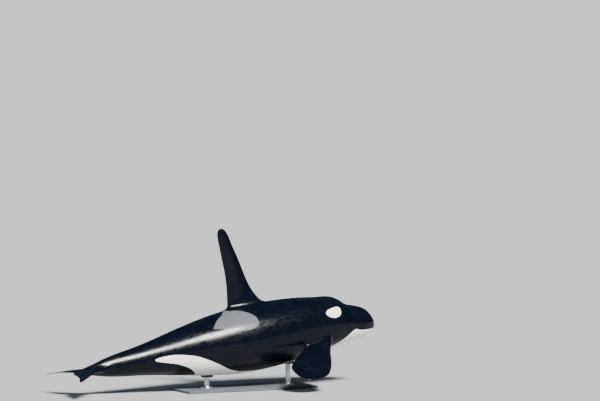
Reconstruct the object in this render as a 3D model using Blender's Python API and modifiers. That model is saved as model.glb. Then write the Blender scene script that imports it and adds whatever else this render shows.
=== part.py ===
# A life-size museum model of an adult male orca, swimming level on a plain display stand.
# Metres. +Z is up, the head points to +X, the animal's left is +Y and the floor is Z = 0.
import math

import bmesh
import bpy
import numpy as np
from mathutils import Vector

# Places along the body are distances behind the snout tip, measured along the backbone.
GAP = 0.0003  # kept between touching pieces
TURNS = 40  # points round the body
NECK = 1.24  # where the head ends
LOINS = 4.36  # where the tail begins
TAIL_END = 6.93  # the tail stock's last edge, inside the flukes
NOTCH = 7.0  # the notch between the flukes, so the body is 7 m long
AXIS_HEIGHT = 1.06  # of the backbone above the floor, at AXIS_PLACE
AXIS_PLACE = 3.0
CENTRE_X = -3.618  # brings the middle of the model to X = 0

# place, behind the snout, height of the back, depth of the belly, half width
BODY = (
    ("snout", 0.00, 0.000, 0.000, 0.000),
    ("beak", 0.10, 0.202, 0.172, 0.186),
    ("melon", 0.32, 0.360, 0.282, 0.304),
    ("blowhole", 0.84, 0.490, 0.442, 0.452),
    ("nape", 1.06, 0.588, 0.502, 0.508),
    ("neck", 1.36, 0.606, 0.564, 0.561),
    ("flippers", 1.65, 0.638, 0.608, 0.596),
    ("fin front", 2.60, 0.712, 0.686, 0.664),
    ("fin rear", 3.50, 0.688, 0.664, 0.622),
    ("vent", 4.60, 0.516, 0.484, 0.432),
    ("tail stock", 5.60, 0.334, 0.276, 0.230),
    ("narrowest", 6.36, 0.204, 0.156, 0.118),
    ("fluke roots", 6.72, 0.094, 0.076, 0.066),
    ("end", 7.00, 0.010, 0.010, 0.012),
)
# behind the snout, sharpness of the back, sharpness of the belly: 1 is an ellipse, over 1 a keel
KEELS = (
    (0.00, 0.94, 0.84),
    (0.90, 0.92, 0.88),
    (2.60, 0.97, 0.95),
    (4.40, 1.08, 1.04),
    (5.60, 1.30, 1.20),
    (6.40, 1.42, 1.34),
    (7.00, 1.20, 1.20),
)
# behind the snout, degrees that the backbone is pitched nose up
PITCH = (
    (0.00, -3.5),
    (0.70, -2.5),
    (1.25, 3.5),
    (2.00, 9.0),
    (3.20, 8.6),
    (4.60, 9.2),
    (5.60, 9.6),
    (6.40, 6.0),
    (7.00, 1.5),
)
# behind the snout, height of the mouth line above the backbone
MOUTH = ((0.00, -0.066), (0.15, -0.080), (0.32, -0.104), (0.48, -0.114), (0.62, -0.096))
MOUTH_CORNER = 0.62
JAW_HINGE = 0.92  # where the lower jaw meets the throat
LIP_GROOVE = 0.009

# The back falls to the melon in a hollow ahead of the blowhole: place, depth, half length
HOLLOW = (0.76, 0.024, 0.14)

EYE_PLACE = 0.785
EYE_HEIGHT = 0.014
EYE_RADIUS = 0.027
EYE_DEPTH = 0.023  # of the eyeball's centre under the skin
LIDS = (0.066, 0.033, 0.050)  # radii of the swelling that the lids open in
EYE_OPENING = (0.026, 0.0145)  # half length and half height between the lids

BLOWHOLE_PLACE = 0.90
BLOWHOLE_RADIUS = 0.062
BLOWHOLE_GROOVE = 0.011
BLOWHOLE_ARC = math.radians(78)

# The dorsal fin's outline, from its rear root: height, trailing edge, leading edge
DORSAL_ROOT = 3.44
DORSAL_HEIGHT = 1.72
DORSAL_TIP_ROUNDING = 0.86  # share of the height where the tip starts to close
DORSAL = (
    (-0.14, 0.010, 1.120),
    (0.17, 0.002, 0.800),
    (0.34, -0.006, 0.638),
    (0.63, -0.032, 0.452),
    (1.05, -0.117, 0.266),
    (1.43, -0.204, 0.088),
    (1.72, -0.262, -0.024),
)
# height, full thickness
DORSAL_THICKNESS = ((-0.14, 0.31), (0.10, 0.20), (0.37, 0.142), (0.95, 0.095), (1.72, 0.044))

# A flipper's outline: share of its length, leading edge and trailing edge from its middle line, thickness
FLIPPER_LENGTH = 1.50
FLIPPER_ROOT = (1.64, -0.315)  # behind the snout, above the backbone
FLIPPER_DIP = math.radians(27)
FLIPPER_SWEEP = math.radians(33)
FLIPPER_TWIST = math.radians(12)
FLIPPER_TIP_ROUNDING = 0.70
FLIPPER = (
    (-0.22, 0.300, -0.270, 0.260),
    (0.00, 0.268, -0.240, 0.175),
    (0.15, 0.270, -0.252, 0.132),
    (0.35, 0.305, -0.335, 0.100),
    (0.60, 0.336, -0.452, 0.074),
    (0.80, 0.296, -0.486, 0.056),
    (1.00, 0.160, -0.420, 0.034),
)

# A fluke's outline: share of the half span, leading edge and trailing edge behind the snout, thickness
FLUKE_HALF_SPAN = 0.98
FLUKE_DROOP = 0.10  # of the tips
FLUKE_TIP_ROUNDING = 0.90
FLUKE = (
    (0.00, 6.300, 6.992, 0.120),
    (0.10, 6.462, 7.062, 0.094),
    (0.25, 6.606, 7.124, 0.072),
    (0.50, 6.806, 7.142, 0.048),
    (0.75, 7.006, 7.176, 0.030),
    (1.00, 7.226, 7.280, 0.016),
)

BASE_SIZE = (3.0, 1.1, 0.05)
BASE_EDGE = 0.012
ROD_PLACES = {"front": 2.20, "rear": 4.10}
ROD_RADIUS = 0.055
FLANGE_PROFILE = ((0.150, 0.0), (0.150, 0.016), (0.084, 0.026), (0.072, 0.050))  # radius, height
PAD_RADIUS = 0.130
PAD_THICKNESS = 0.040  # under the belly, on the rod's axis
PAD_EDGE = 0.012


def smooth_curve(knots, column):
    """A function through the knots' values in that column, with no kink in its slope or bend."""
    x = np.array([k[0] for k in knots], float)
    y = np.array([k[column] for k in knots], float)
    step = np.diff(x)
    rise = np.diff(y) / step
    count = len(x)
    lines = np.eye(count)
    wanted = np.zeros(count)
    for i in range(1, count - 1):
        lines[i, i - 1 : i + 2] = step[i - 1], 2 * (step[i - 1] + step[i]), step[i]
        wanted[i] = 6 * (rise[i] - rise[i - 1])
    bend = np.linalg.solve(lines, wanted)

    def value(at):
        i = int(np.clip(np.searchsorted(x, at) - 1, 0, count - 2))
        a, b = (x[i + 1] - at) / step[i], (at - x[i]) / step[i]
        curve = (a**3 - a) * bend[i] + (b**3 - b) * bend[i + 1]
        return float(a * y[i] + b * y[i + 1] + curve * step[i] ** 2 / 6)

    return value


# The body's profiles run over the square root of the distance, which rounds the snout.
ROOTED_BODY = [(math.sqrt(row[1]), *row[2:]) for row in BODY]
back_height = smooth_curve(ROOTED_BODY, 1)
belly_depth = smooth_curve(ROOTED_BODY, 2)
half_width = smooth_curve(ROOTED_BODY, 3)
back_keel = smooth_curve(KEELS, 1)
belly_keel = smooth_curve(KEELS, 2)
pitch_degrees = smooth_curve(PITCH, 1)
mouth_height = smooth_curve(MOUTH, 1)


def backbone():
    """The backbone's places and points, from the snout to past the flukes."""
    places = np.linspace(0.0, 7.6, 381)
    points = [np.zeros(2)]
    for a, b in zip(places[:-1], places[1:]):
        pitch = math.radians(pitch_degrees(min((a + b) / 2, NOTCH)))
        points.append(points[-1] - (b - a) * np.array([math.cos(pitch), math.sin(pitch)]))
    points = np.array(points)
    here = [np.interp(AXIS_PLACE, places, points[:, i]) for i in (0, 1)]
    return places, points + [-AXIS_PLACE - CENTRE_X - here[0], AXIS_HEIGHT - here[1]]


BACKBONE_PLACES, BACKBONE_POINTS = backbone()


def posed(place, side, height):
    """The point that far behind the snout, left of the middle and above the backbone, in the pose."""
    pitch = math.radians(pitch_degrees(min(place, NOTCH)))
    x, z = (np.interp(place, BACKBONE_PLACES, BACKBONE_POINTS[:, i]) for i in (0, 1))
    return Vector((x - height * math.sin(pitch), side, z + height * math.cos(pitch)))


def signed_power(value, power):
    return math.copysign(abs(value) ** power, value)


def back_reach(place):
    middle, depth, length = HOLLOW
    return back_height(math.sqrt(place)) - depth * math.exp(-(((place - middle) / length) ** 2))


def section_point(place, turn, grow=0.0):
    """(side, height) on the skin. Turn runs from the back, 0, over the left side to the belly, pi."""
    root = math.sqrt(place)
    upper = math.cos(turn) >= 0
    keel = back_keel(place) if upper else belly_keel(place)
    reach = (back_reach(place) if upper else belly_depth(root)) + grow
    side = (half_width(root) + grow) * signed_power(math.sin(turn), keel)
    return side, reach * math.cos(turn)


def turn_at(place, height):
    """The turn on the left side where the skin is that high above the backbone."""
    reach = back_reach(place) if height >= 0 else belly_depth(math.sqrt(place))
    return math.acos(max(-1.0, min(1.0, height / reach)))


def skin_point(place, turn, grow=0.0):
    side, height = section_point(place, turn, grow)
    return posed(place, side, height)


def new_object(name, mesh, collection):
    made = bpy.data.objects.new(name, mesh)
    collection.objects.link(made)
    return made


def loft(name, rings, collection, first_pole=None, last_pole=None):
    """A closed solid through rings of the same number of points. A pole closes an end to a point."""
    shape = bmesh.new()
    rows = [[shape.verts.new(p) for p in ring] for ring in rings]
    for row, after in zip(rows[:-1], rows[1:]):
        for i in range(len(row)):
            j = (i + 1) % len(row)
            shape.faces.new((row[i], row[j], after[j], after[i]))
    for row, pole in ((rows[0], first_pole), (rows[-1], last_pole)):
        if pole is None:
            shape.faces.new(row)
        else:
            tip = shape.verts.new(pole)
            for i in range(len(row)):
                shape.faces.new((row[i], row[(i + 1) % len(row)], tip))
    bmesh.ops.recalc_face_normals(shape, faces=shape.faces)
    bmesh.ops.triangulate(shape, faces=shape.faces, quad_method="FIXED")
    mesh = bpy.data.meshes.new(name)
    shape.to_mesh(mesh)
    shape.free()
    return new_object(name, mesh, collection)


def body_length(name, start, end, count, collection, grow=0.0):
    """The stretch of the body between two places. From the snout itself it starts at a point."""
    roots = np.linspace(math.sqrt(start), math.sqrt(end), count) ** 2
    places = roots[1:] if start == 0 else np.linspace(start, end, count)
    turns = [2 * math.pi * i / TURNS for i in range(TURNS)]
    rings = [[skin_point(float(place), turn, grow) for turn in turns] for place in places]
    snout = posed(0.0, 0.0, 0.0) if start == 0 else None
    return loft(name, rings, collection, first_pole=snout)


def foil_ring(lead, trail, up, thickness, points=20):
    """A fin's section: round at both edges and thickest a third of the way back."""
    ring = []
    for i in range(points):
        turn = 2 * math.pi * i / points
        along = (1 - math.cos(turn)) / 2
        bulge = math.sin(turn) * (1 + 0.38 * math.cos(turn)) / 1.05
        ring.append(lead.lerp(trail, along) + up * (thickness / 2 * bulge))
    return ring


def tip_closing(share, start):
    """How much of a fin's width is left at that share of its length, as its tip rounds off."""
    if share <= start:
        return 1.0
    return math.sqrt(max(0.0, 1 - ((share - start) / (1 - start)) ** 2.5))


def foil_shares(start, rounding, count):
    """Shares of a fin's length for its sections, closer together where the tip rounds off."""
    straight = [start + (rounding - start) * i / count for i in range(count)]
    swing = [math.sin(math.radians(a)) for a in (0, 17, 33, 47, 59, 70, 79, 85)]
    return straight + [rounding + (1 - rounding) * s for s in swing]


def closed_edges(lead, trail, share, start):
    """The leading and trailing edge drawn in towards each other near the tip."""
    middle = (lead + trail) / 2
    left = tip_closing(share, start)
    return middle + (lead - middle) * left, middle + (trail - middle) * left


def dorsal_fin(collection):
    lead, trail = smooth_curve(DORSAL, 2), smooth_curve(DORSAL, 1)
    thickness = smooth_curve(DORSAL_THICKNESS, 1)
    root = skin_point(DORSAL_ROOT, 0.0)
    lowest = DORSAL[0][0] / DORSAL_HEIGHT
    rings = []
    for share in foil_shares(lowest, DORSAL_TIP_ROUNDING, 11):
        height = share * DORSAL_HEIGHT
        front, rear = closed_edges(lead(height), trail(height), share, DORSAL_TIP_ROUNDING)
        level = root + Vector((0, 0, height))
        rings.append(
            foil_ring(
                level + Vector((front, 0, 0)),
                level + Vector((rear, 0, 0)),
                Vector((0, 1, 0)),
                thickness(height) * tip_closing(share, DORSAL_TIP_ROUNDING) ** 0.5,
            )
        )
    tip = sum(rings[-1], Vector()) / len(rings[-1]) + Vector((0, 0, 0.004))
    return loft("dorsal_fin", rings, collection, last_pole=tip)


def flipper(name, side, collection):
    """side is 1 for the left flipper and -1 for the right."""
    lead, trail, thickness = (smooth_curve(FLIPPER, column) for column in (1, 2, 3))
    place, height = FLIPPER_ROOT
    root = skin_point(place, turn_at(place, height))
    mirrored = Vector((1, side, 1))
    rings = []
    for share in foil_shares(FLIPPER[0][0], FLIPPER_TIP_ROUNDING, 9):
        sweep = FLIPPER_SWEEP if share >= 0 else FLIPPER_SWEEP * (1 - share / FLIPPER[0][0])
        level = Vector((math.cos(sweep), math.sin(sweep), 0))
        flat = Vector((-math.sin(sweep), math.cos(sweep), 0))
        outward = flat * math.cos(FLIPPER_DIP) - Vector((0, 0, math.sin(FLIPPER_DIP)))
        forward = level * math.cos(FLIPPER_TWIST) - level.cross(outward) * math.sin(FLIPPER_TWIST)
        front, rear = closed_edges(lead(share), trail(share), share, FLIPPER_TIP_ROUNDING)
        centre = root + outward * (share * FLIPPER_LENGTH)
        ring = foil_ring(
            centre + forward * front,
            centre + forward * rear,
            forward.cross(outward),
            thickness(share) * tip_closing(share, FLIPPER_TIP_ROUNDING) ** 0.5,
        )
        rings.append([p * mirrored for p in ring])
    tip = sum(rings[-1], Vector()) / len(rings[-1]) + outward * mirrored * 0.004
    return loft(name, rings, collection, last_pole=tip)


def fluke(name, side, collection):
    lead, trail, thickness = (smooth_curve(FLUKE, column) for column in (1, 2, 3))
    rings = []
    for share in foil_shares(0.0, FLUKE_TIP_ROUNDING, 9):
        front, rear = closed_edges(lead(share), trail(share), share, FLUKE_TIP_ROUNDING)
        across = side * (GAP / 2 + share * FLUKE_HALF_SPAN)
        droop = -FLUKE_DROOP * share**2
        edges = [posed(place, across, droop) for place in (front, rear)]
        up = (posed(front, across, 1.0) - posed(front, across, 0.0)).normalized()
        thick = thickness(share) * tip_closing(share, FLUKE_TIP_ROUNDING) ** 0.5
        rings.append(foil_ring(*edges, up, thick))
    tip = sum(rings[-1], Vector()) / len(rings[-1]) + Vector((0, side * 0.002, 0))
    return loft(name, rings, collection, last_pole=tip)


def replace_mesh(target, mesh):
    old = target.data
    target.modifiers.clear()
    target.data = mesh
    bpy.data.meshes.remove(old)


def combine(target, tool, operation):
    """Joins the tool to the target, cuts it away, or keeps what both share. The tool is used up."""
    modifier = target.modifiers.new(operation.lower(), "BOOLEAN")
    modifier.operation = operation
    modifier.object = tool
    graph = bpy.context.evaluated_depsgraph_get()
    replace_mesh(target, bpy.data.meshes.new_from_object(target.evaluated_get(graph)))
    bpy.data.objects.remove(tool)


def keep_largest(target):
    """Removes all but the largest closed surface."""
    shape = bmesh.new()
    shape.from_mesh(target.data)
    left = set(shape.verts)
    pieces = []
    while left:
        piece = {left.pop()}
        edge = list(piece)
        while edge:
            near = {e.other_vert(v) for v in edge for e in v.link_edges} & left
            left -= near
            piece |= near
            edge = list(near)
        pieces.append(piece)
    largest = max(pieces, key=len)
    drop = [v for piece in pieces if piece is not largest for v in piece]
    bmesh.ops.delete(shape, geom=drop, context="VERTS")
    shape.to_mesh(target.data)
    shape.free()


def ball(name, centre, arms, collection, segments=18, rings=12):
    """An ellipsoid with three half axes, its poles along the second."""
    shape = bmesh.new()
    bmesh.ops.create_uvsphere(shape, u_segments=segments, v_segments=rings, radius=1.0)
    for v in shape.verts:
        x, y, z = v.co
        v.co = centre + arms[0] * x + arms[1] * z - arms[2] * y
    shape.normal_update()
    bmesh.ops.recalc_face_normals(shape, faces=shape.faces)
    bmesh.ops.triangulate(shape, faces=shape.faces)
    mesh = bpy.data.meshes.new(name)
    shape.to_mesh(mesh)
    shape.free()
    return new_object(name, mesh, collection)


def tube(name, path, radius, collection):
    """A groove's cutter: a tube along the path, made a closed mesh."""
    line = bpy.data.curves.new(name, "CURVE")
    line.dimensions = "3D"
    line.bevel_depth = radius
    line.bevel_resolution = 1
    line.use_fill_caps = True
    spline = line.splines.new("POLY")
    spline.points.add(len(path) - 1)
    for point, at in zip(spline.points, path):
        point.co = (*at, 1)
    guide = new_object(name, line, collection)
    graph = bpy.context.evaluated_depsgraph_get()
    mesh = bpy.data.meshes.new_from_object(guide.evaluated_get(graph))
    bpy.data.objects.remove(guide)
    shape = bmesh.new()
    shape.from_mesh(mesh)
    bmesh.ops.remove_doubles(shape, verts=shape.verts, dist=0.00001)
    bmesh.ops.recalc_face_normals(shape, faces=shape.faces)
    shape.to_mesh(mesh)
    shape.free()
    return new_object(name, mesh, collection)


def jaw_space(name, back_off, collection):
    """The space under the mouth line and ahead of the jaw's hinge, grown by back_off."""
    count = 12
    places = [MOUTH_CORNER * i / (count - 1) for i in range(count)]
    outline = [(-0.10, mouth_height(0.0) + back_off)]
    outline += [(place, mouth_height(place) + back_off) for place in places]
    outline[-1] = (MOUTH_CORNER + back_off, outline[-1][1])
    outline += [(JAW_HINGE + back_off, -0.70), (-0.10, -0.70)]
    flat = Vector((1, 0, 1))
    ahead = posed(0.0, 0.0, 0.0) - posed(0.05, 0.0, 0.0)

    def corner(place, height, side):
        at = posed(max(place, 0.0), 0.0, height)
        if place < 0:
            at += ahead.normalized() * -place
        return at * flat + Vector((0, side, 0))

    rings = [[corner(*p, side) for p in outline] for side in (-0.7, 0.7)]
    return loft(name, rings, collection)


def lip_line():
    """The mouth line on the skin, from the left corner round the snout to the right corner."""
    start = 0.0
    while belly_depth(math.sqrt(start)) < -mouth_height(start):
        start += 0.0005
    places = [start + (MOUTH_CORNER - start) * share**2 for share in np.linspace(0, 1, 18)]
    left = []
    for place in reversed(places):
        turn = turn_at(place, mouth_height(place))
        left.append(skin_point(place, turn))
    left[-1].y = 0.0
    return left + [p * Vector((1, -1, 1)) for p in reversed(left[:-1])]


def blowhole_line():
    """A crescent on the top of the head, open towards the snout."""
    points = []
    for share in np.linspace(-1, 1, 11):
        swing = share * BLOWHOLE_ARC
        place = BLOWHOLE_PLACE + BLOWHOLE_RADIUS * (math.cos(swing) - 1) * 0.8
        side = BLOWHOLE_RADIUS * math.sin(swing)
        turn = math.asin(side / half_width(math.sqrt(place)))
        points.append(skin_point(place, turn))
    return points


def eye_frame(side):
    """The eyeball's centre, and unit vectors forward, out of the head and up."""
    turn = turn_at(EYE_PLACE, EYE_HEIGHT)
    skin = skin_point(EYE_PLACE, turn)
    forward = (skin_point(EYE_PLACE - 0.02, turn) - skin).normalized()
    up = (skin_point(EYE_PLACE, turn - 0.02) - skin).normalized()
    outward = up.cross(forward).normalized()
    up = forward.cross(outward)
    mirrored = Vector((1, side, 1))
    return [v * mirrored for v in (skin - outward * EYE_DEPTH, forward, outward, up)]


def cut_eye(head, side, tools):
    """Raises the lids over the eyeball and opens them to an almond."""
    centre, *axes = eye_frame(side)
    lids = [axis * radius for axis, radius in zip(axes, LIDS)]
    combine(head, ball("lids", centre, lids, tools, segments=24), "UNION")
    socket = [axis * (EYE_RADIUS + GAP) for axis in axes]
    combine(head, ball("socket", centre, socket, tools), "DIFFERENCE")
    forward, outward, up = axes
    long, high = EYE_OPENING
    opening = []
    for depth in (0.0, 0.12):
        ring = []
        for i in range(14):
            turn = 2 * math.pi * i / 14
            rise = high * signed_power(math.sin(turn), 1.25)
            ring.append(centre + outward * depth + forward * (long * math.cos(turn)) + up * rise)
        opening.append(ring)
    combine(head, loft("opening", opening, tools), "DIFFERENCE")


def make_head(parts, tools):
    whole = body_length("head", 0.0, NECK - GAP / 2, 25, parts)
    combine(whole, tube("lips", lip_line(), LIP_GROOVE, tools), "DIFFERENCE")
    combine(whole, tube("blowhole", blowhole_line(), BLOWHOLE_GROOVE, tools), "DIFFERENCE")
    jaw = new_object("lower_jaw", whole.data.copy(), parts)
    combine(jaw, jaw_space("jaw space", 0.0, tools), "INTERSECT")
    combine(whole, jaw_space("jaw room", GAP, tools), "DIFFERENCE")
    for side in (1, -1):
        cut_eye(whole, side, tools)
    return [whole, jaw]


def make_eyes(parts):
    eyes = []
    for name, side in (("eye_left", 1), ("eye_right", -1)):
        centre, *axes = eye_frame(side)
        eyes.append(ball(name, centre, [axis * EYE_RADIUS for axis in axes], parts))
    return eyes


def make_trunk(parts):
    torso = body_length("torso", NECK + GAP / 2, LOINS - GAP / 2, 20, parts)
    tail = body_length("tail_stock", LOINS + GAP / 2, TAIL_END, 17, parts)
    return [torso, tail]


def torso_room(tools):
    """The torso grown by the gap, which shapes the roots of what stands on it."""
    return body_length("torso room", NECK + GAP / 2, LOINS - GAP / 2, 20, tools, grow=GAP * 1.1)


def tail_room(tools):
    return body_length("tail room", LOINS + GAP / 2, TAIL_END + GAP, 17, tools, grow=GAP * 1.1)


def make_fins(parts, tools):
    fins = [dorsal_fin(parts), flipper("flipper_left", 1, parts), flipper("flipper_right", -1, parts)]
    for fin in fins:
        combine(fin, torso_room(tools), "DIFFERENCE")
    flukes = [fluke("fluke_left", 1, parts), fluke("fluke_right", -1, parts)]
    for fin in flukes:
        combine(fin, tail_room(tools), "DIFFERENCE")
    return fins + flukes


def make_base(parts):
    bpy.ops.mesh.primitive_cube_add(size=1.0)
    base = bpy.context.object
    base.name = "stand_base"
    middle = sum(posed(place, 0, 0).x for place in ROD_PLACES.values()) / 2
    base.location = (middle, 0, BASE_SIZE[2] / 2)
    base.data.transform(diagonal(BASE_SIZE))
    bevel = base.modifiers.new("rounded edges", "BEVEL")
    bevel.width = BASE_EDGE
    bevel.segments = 2
    for collection in base.users_collection:
        collection.objects.unlink(base)
    parts.objects.link(base)
    return base


def diagonal(sizes):
    matrix = np.eye(4)
    for i, size in enumerate(sizes):
        matrix[i, i] = size
    return [list(row) for row in matrix]


def turned(name, profile, at, collection, sides=24):
    """A solid turned round an upright axis, from (radius, height) points, bottom to top."""
    rings = []
    for radius, height in profile:
        turns = [2 * math.pi * i / sides for i in range(sides)]
        centre = Vector((at[0], at[1], at[2] + height))
        rings.append([centre + Vector((radius * math.cos(t), radius * math.sin(t), 0)) for t in turns])
    return loft(name, rings, collection)


def make_rod(end, place, parts, tools):
    """One rod with its flange on the base and its pad under the belly."""
    belly = skin_point(place, math.pi)
    floor = BASE_SIZE[2] + GAP
    flange = turned(f"stand_flange_{end}", FLANGE_PROFILE, (belly.x, 0, floor), parts)
    foot = floor + FLANGE_PROFILE[-1][1] + GAP
    seat = belly.z - PAD_THICKNESS
    rod = turned(f"stand_rod_{end}", ((ROD_RADIUS, foot), (ROD_RADIUS, seat)), (belly.x, 0, 0), parts)
    underside = seat + GAP
    rim = ((PAD_RADIUS - PAD_EDGE, underside), (PAD_RADIUS, underside + PAD_EDGE))
    profile = (*rim, (PAD_RADIUS, belly.z + 0.15))
    pad = turned(f"stand_pad_{end}", profile, (belly.x, 0, 0), parts)
    combine(pad, torso_room(tools), "DIFFERENCE")
    return [flange, rod, pad]


def paint(objects, name, colour, roughness, metallic=0.0):
    material = bpy.data.materials.new(name)
    material.use_nodes = True
    shader = material.node_tree.nodes["Principled BSDF"]
    shader.inputs["Base Color"].default_value = (*colour, 1)
    shader.inputs["Roughness"].default_value = roughness
    shader.inputs["Metallic"].default_value = metallic
    for made in objects:
        made.data.materials.clear()
        made.data.materials.append(material)
        made.data.shade_smooth()
        made.data.set_sharp_from_angle(angle=math.radians(38))


def main():
    for old in list(bpy.data.objects):
        bpy.data.objects.remove(old)
    parts = bpy.data.collections.new("orca")
    tools = bpy.data.collections.new("cutters")
    for collection in (parts, tools):
        bpy.context.scene.collection.children.link(collection)
    head, jaw = make_head(parts, tools)
    body = [head, *make_trunk(parts), *make_fins(parts, tools)]
    eyes = make_eyes(parts)
    rods = [piece for end, place in ROD_PLACES.items() for piece in make_rod(end, place, parts, tools)]
    base = make_base(parts)
    for piece in (*body, jaw, *rods):
        keep_largest(piece)
    paint(body, "black skin", (0.010, 0.012, 0.016), 0.25)
    paint([jaw], "white skin", (0.80, 0.79, 0.75), 0.30)
    paint(eyes, "dark eye", (0.020, 0.012, 0.008), 0.08)
    paint([base], "painted plinth", (0.20, 0.21, 0.22), 0.45)
    pads = [piece for piece in rods if "pad" in piece.name]
    paint(pads, "grey rubber", (0.06, 0.06, 0.06), 0.70)
    steel = [piece for piece in rods if piece not in pads]
    paint(steel, "brushed steel", (0.55, 0.56, 0.58), 0.32, metallic=1.0)


main()
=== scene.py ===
# A life-size museum model of an adult male orca, swimming level on its display stand.
# Metres. +Z is up, the head points to +X, the animal's left is +Y and the floor is Z = 0.
import math

import bmesh
import bpy
import numpy as np
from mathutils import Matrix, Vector
from mathutils.bvhtree import BVHTree


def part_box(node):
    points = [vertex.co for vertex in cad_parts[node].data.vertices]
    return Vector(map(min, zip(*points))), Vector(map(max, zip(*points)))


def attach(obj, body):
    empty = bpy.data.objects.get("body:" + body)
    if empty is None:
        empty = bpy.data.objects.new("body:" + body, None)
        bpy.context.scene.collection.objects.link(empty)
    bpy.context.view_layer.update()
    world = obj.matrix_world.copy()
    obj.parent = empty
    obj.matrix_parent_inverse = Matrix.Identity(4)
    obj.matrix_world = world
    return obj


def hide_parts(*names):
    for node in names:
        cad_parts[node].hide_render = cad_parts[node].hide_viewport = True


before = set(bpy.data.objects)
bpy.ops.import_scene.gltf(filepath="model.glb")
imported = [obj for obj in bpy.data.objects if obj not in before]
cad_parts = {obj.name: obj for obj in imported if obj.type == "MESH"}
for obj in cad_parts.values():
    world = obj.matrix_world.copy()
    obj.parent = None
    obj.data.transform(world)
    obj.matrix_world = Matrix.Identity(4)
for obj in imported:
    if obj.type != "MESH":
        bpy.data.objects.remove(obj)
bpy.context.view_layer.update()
print("frame loaded:", len(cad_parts), "nodes")

# Places along the body are distances behind the snout tip, along the backbone.
# A turn runs round the body: 0 is the back, 90 degrees the left side, 180 degrees the belly.
body = {
    "notch": 7.0,  # between the flukes
    "axisHeight": 1.06,  # of the backbone above the floor, at axisPlace
    "axisPlace": 3.0,
    "centreX": -3.618,
    # place, height of the back, depth of the belly, half width
    "sections": (
        (0.00, 0.000, 0.000, 0.000),
        (0.10, 0.202, 0.172, 0.186),
        (0.32, 0.360, 0.282, 0.304),
        (0.84, 0.490, 0.442, 0.452),
        (1.06, 0.588, 0.502, 0.508),
        (1.36, 0.606, 0.564, 0.561),
        (1.65, 0.638, 0.608, 0.596),
        (2.60, 0.712, 0.686, 0.664),
        (3.50, 0.688, 0.664, 0.622),
        (4.60, 0.516, 0.484, 0.432),
        (5.60, 0.334, 0.276, 0.230),
        (6.36, 0.204, 0.156, 0.118),
        (6.72, 0.094, 0.076, 0.066),
        (7.00, 0.010, 0.010, 0.012),
    ),
    # place, sharpness of the back, sharpness of the belly: 1 is an ellipse, over 1 a keel
    "keels": (
        (0.00, 0.94, 0.84),
        (0.90, 0.92, 0.88),
        (2.60, 0.97, 0.95),
        (4.40, 1.08, 1.04),
        (5.60, 1.30, 1.20),
        (6.40, 1.42, 1.34),
        (7.00, 1.20, 1.20),
    ),
    # place, degrees that the backbone is pitched nose up
    "pitch": (
        (0.00, -3.5),
        (0.70, -2.5),
        (1.25, 3.5),
        (2.00, 9.0),
        (3.20, 8.6),
        (4.60, 9.2),
        (5.60, 9.6),
        (6.40, 6.0),
        (7.00, 1.5),
    ),
    "hollow": (0.76, 0.024, 0.14),  # ahead of the blowhole: place, depth, half length
    "keelBlend": 0.3,  # over so much of the turn's cosine the back's form gives way to the belly's
    "backboneEnd": 7.6,  # it runs on behind the notch, under the flukes' trailing edges
    "backbonePoints": 3801,
    "columns": 144,
    # place, length of a face along the body
    "rowSteps": ((0.0, 0.012), (1.05, 0.014), (1.40, 0.032), (5.70, 0.032), (6.20, 0.018), (7.0, 0.014)),
    "snoutStep": 0.034,  # times the root of the place, where that is shorter
    "firstRow": 0.0002,
    "lastRow": 6.988,
    "tailPole": 6.998,
    "straightenRounds": 8,  # in which a point of the pose finds its place
}
slopeStep = 0.001  # how far apart two places are, where a slope is measured


def smoothCurve(knots, column):
    # a natural cubic spline through one column of the knots
    x, y = (np.array([row[i] for row in knots], float) for i in (0, column))
    step, count = np.diff(x), len(x)
    rise = np.diff(y) / step
    lines, wanted = np.eye(count), np.zeros(count)
    for i in range(1, count - 1):
        lines[i, i - 1 : i + 2] = step[i - 1], 2 * (step[i - 1] + step[i]), step[i]
        wanted[i] = 6 * (rise[i] - rise[i - 1])
    bend = np.linalg.solve(lines, wanted)

    def value(at):
        at = np.asarray(at, float)
        i = np.clip(np.searchsorted(x, at) - 1, 0, count - 2)
        a, b = (x[i + 1] - at) / step[i], (at - x[i]) / step[i]
        curve = (a**3 - a) * bend[i] + (b**3 - b) * bend[i + 1]
        return a * y[i] + b * y[i + 1] + curve * step[i] ** 2 / 6

    return value


def smoothStep(start, end, value):
    share = np.clip((value - start) / (end - start), 0, 1)
    return share * share * (3 - 2 * share)


def unit(vectors):
    return vectors / np.linalg.norm(vectors, axis=-1, keepdims=True)


def turns(count):
    return 2 * math.pi * np.arange(count) / count


def mirrored(points, side):
    return points * np.array([1.0, side, 1.0])


rootedSections = [(math.sqrt(row[0]), *row[1:]) for row in body["sections"]]
backHeight, bellyDepth, halfWidth = (smoothCurve(rootedSections, column) for column in (1, 2, 3))
backKeel, bellyKeel = smoothCurve(body["keels"], 1), smoothCurve(body["keels"], 2)
pitchDegrees = smoothCurve(body["pitch"], 1)


def pitchAt(place):
    return np.radians(pitchDegrees(np.minimum(place, body["notch"])))


def backbone():
    places = np.linspace(0.0, body["backboneEnd"], body["backbonePoints"])
    pitch = pitchAt((places[:-1] + places[1:]) / 2)
    steps = np.diff(places)[:, None] * np.stack([np.cos(pitch), np.sin(pitch)], 1)
    points = -np.vstack([np.zeros(2), np.cumsum(steps, 0)])
    here = [np.interp(body["axisPlace"], places, points[:, i]) for i in (0, 1)]
    shift = [-body["axisPlace"] - body["centreX"] - here[0], body["axisHeight"] - here[1]]
    return places, points + shift


bonePlaces, bonePoints = backbone()


def boneAt(place):
    return (np.interp(place, bonePlaces, bonePoints[:, i]) for i in (0, 1))


def posed(place, side, height):
    place, side, height = np.broadcast_arrays(place, side, height)
    pitch = pitchAt(place)
    x, z = boneAt(place)
    return np.stack([x - height * np.sin(pitch), side, z + height * np.cos(pitch)], -1)


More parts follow.
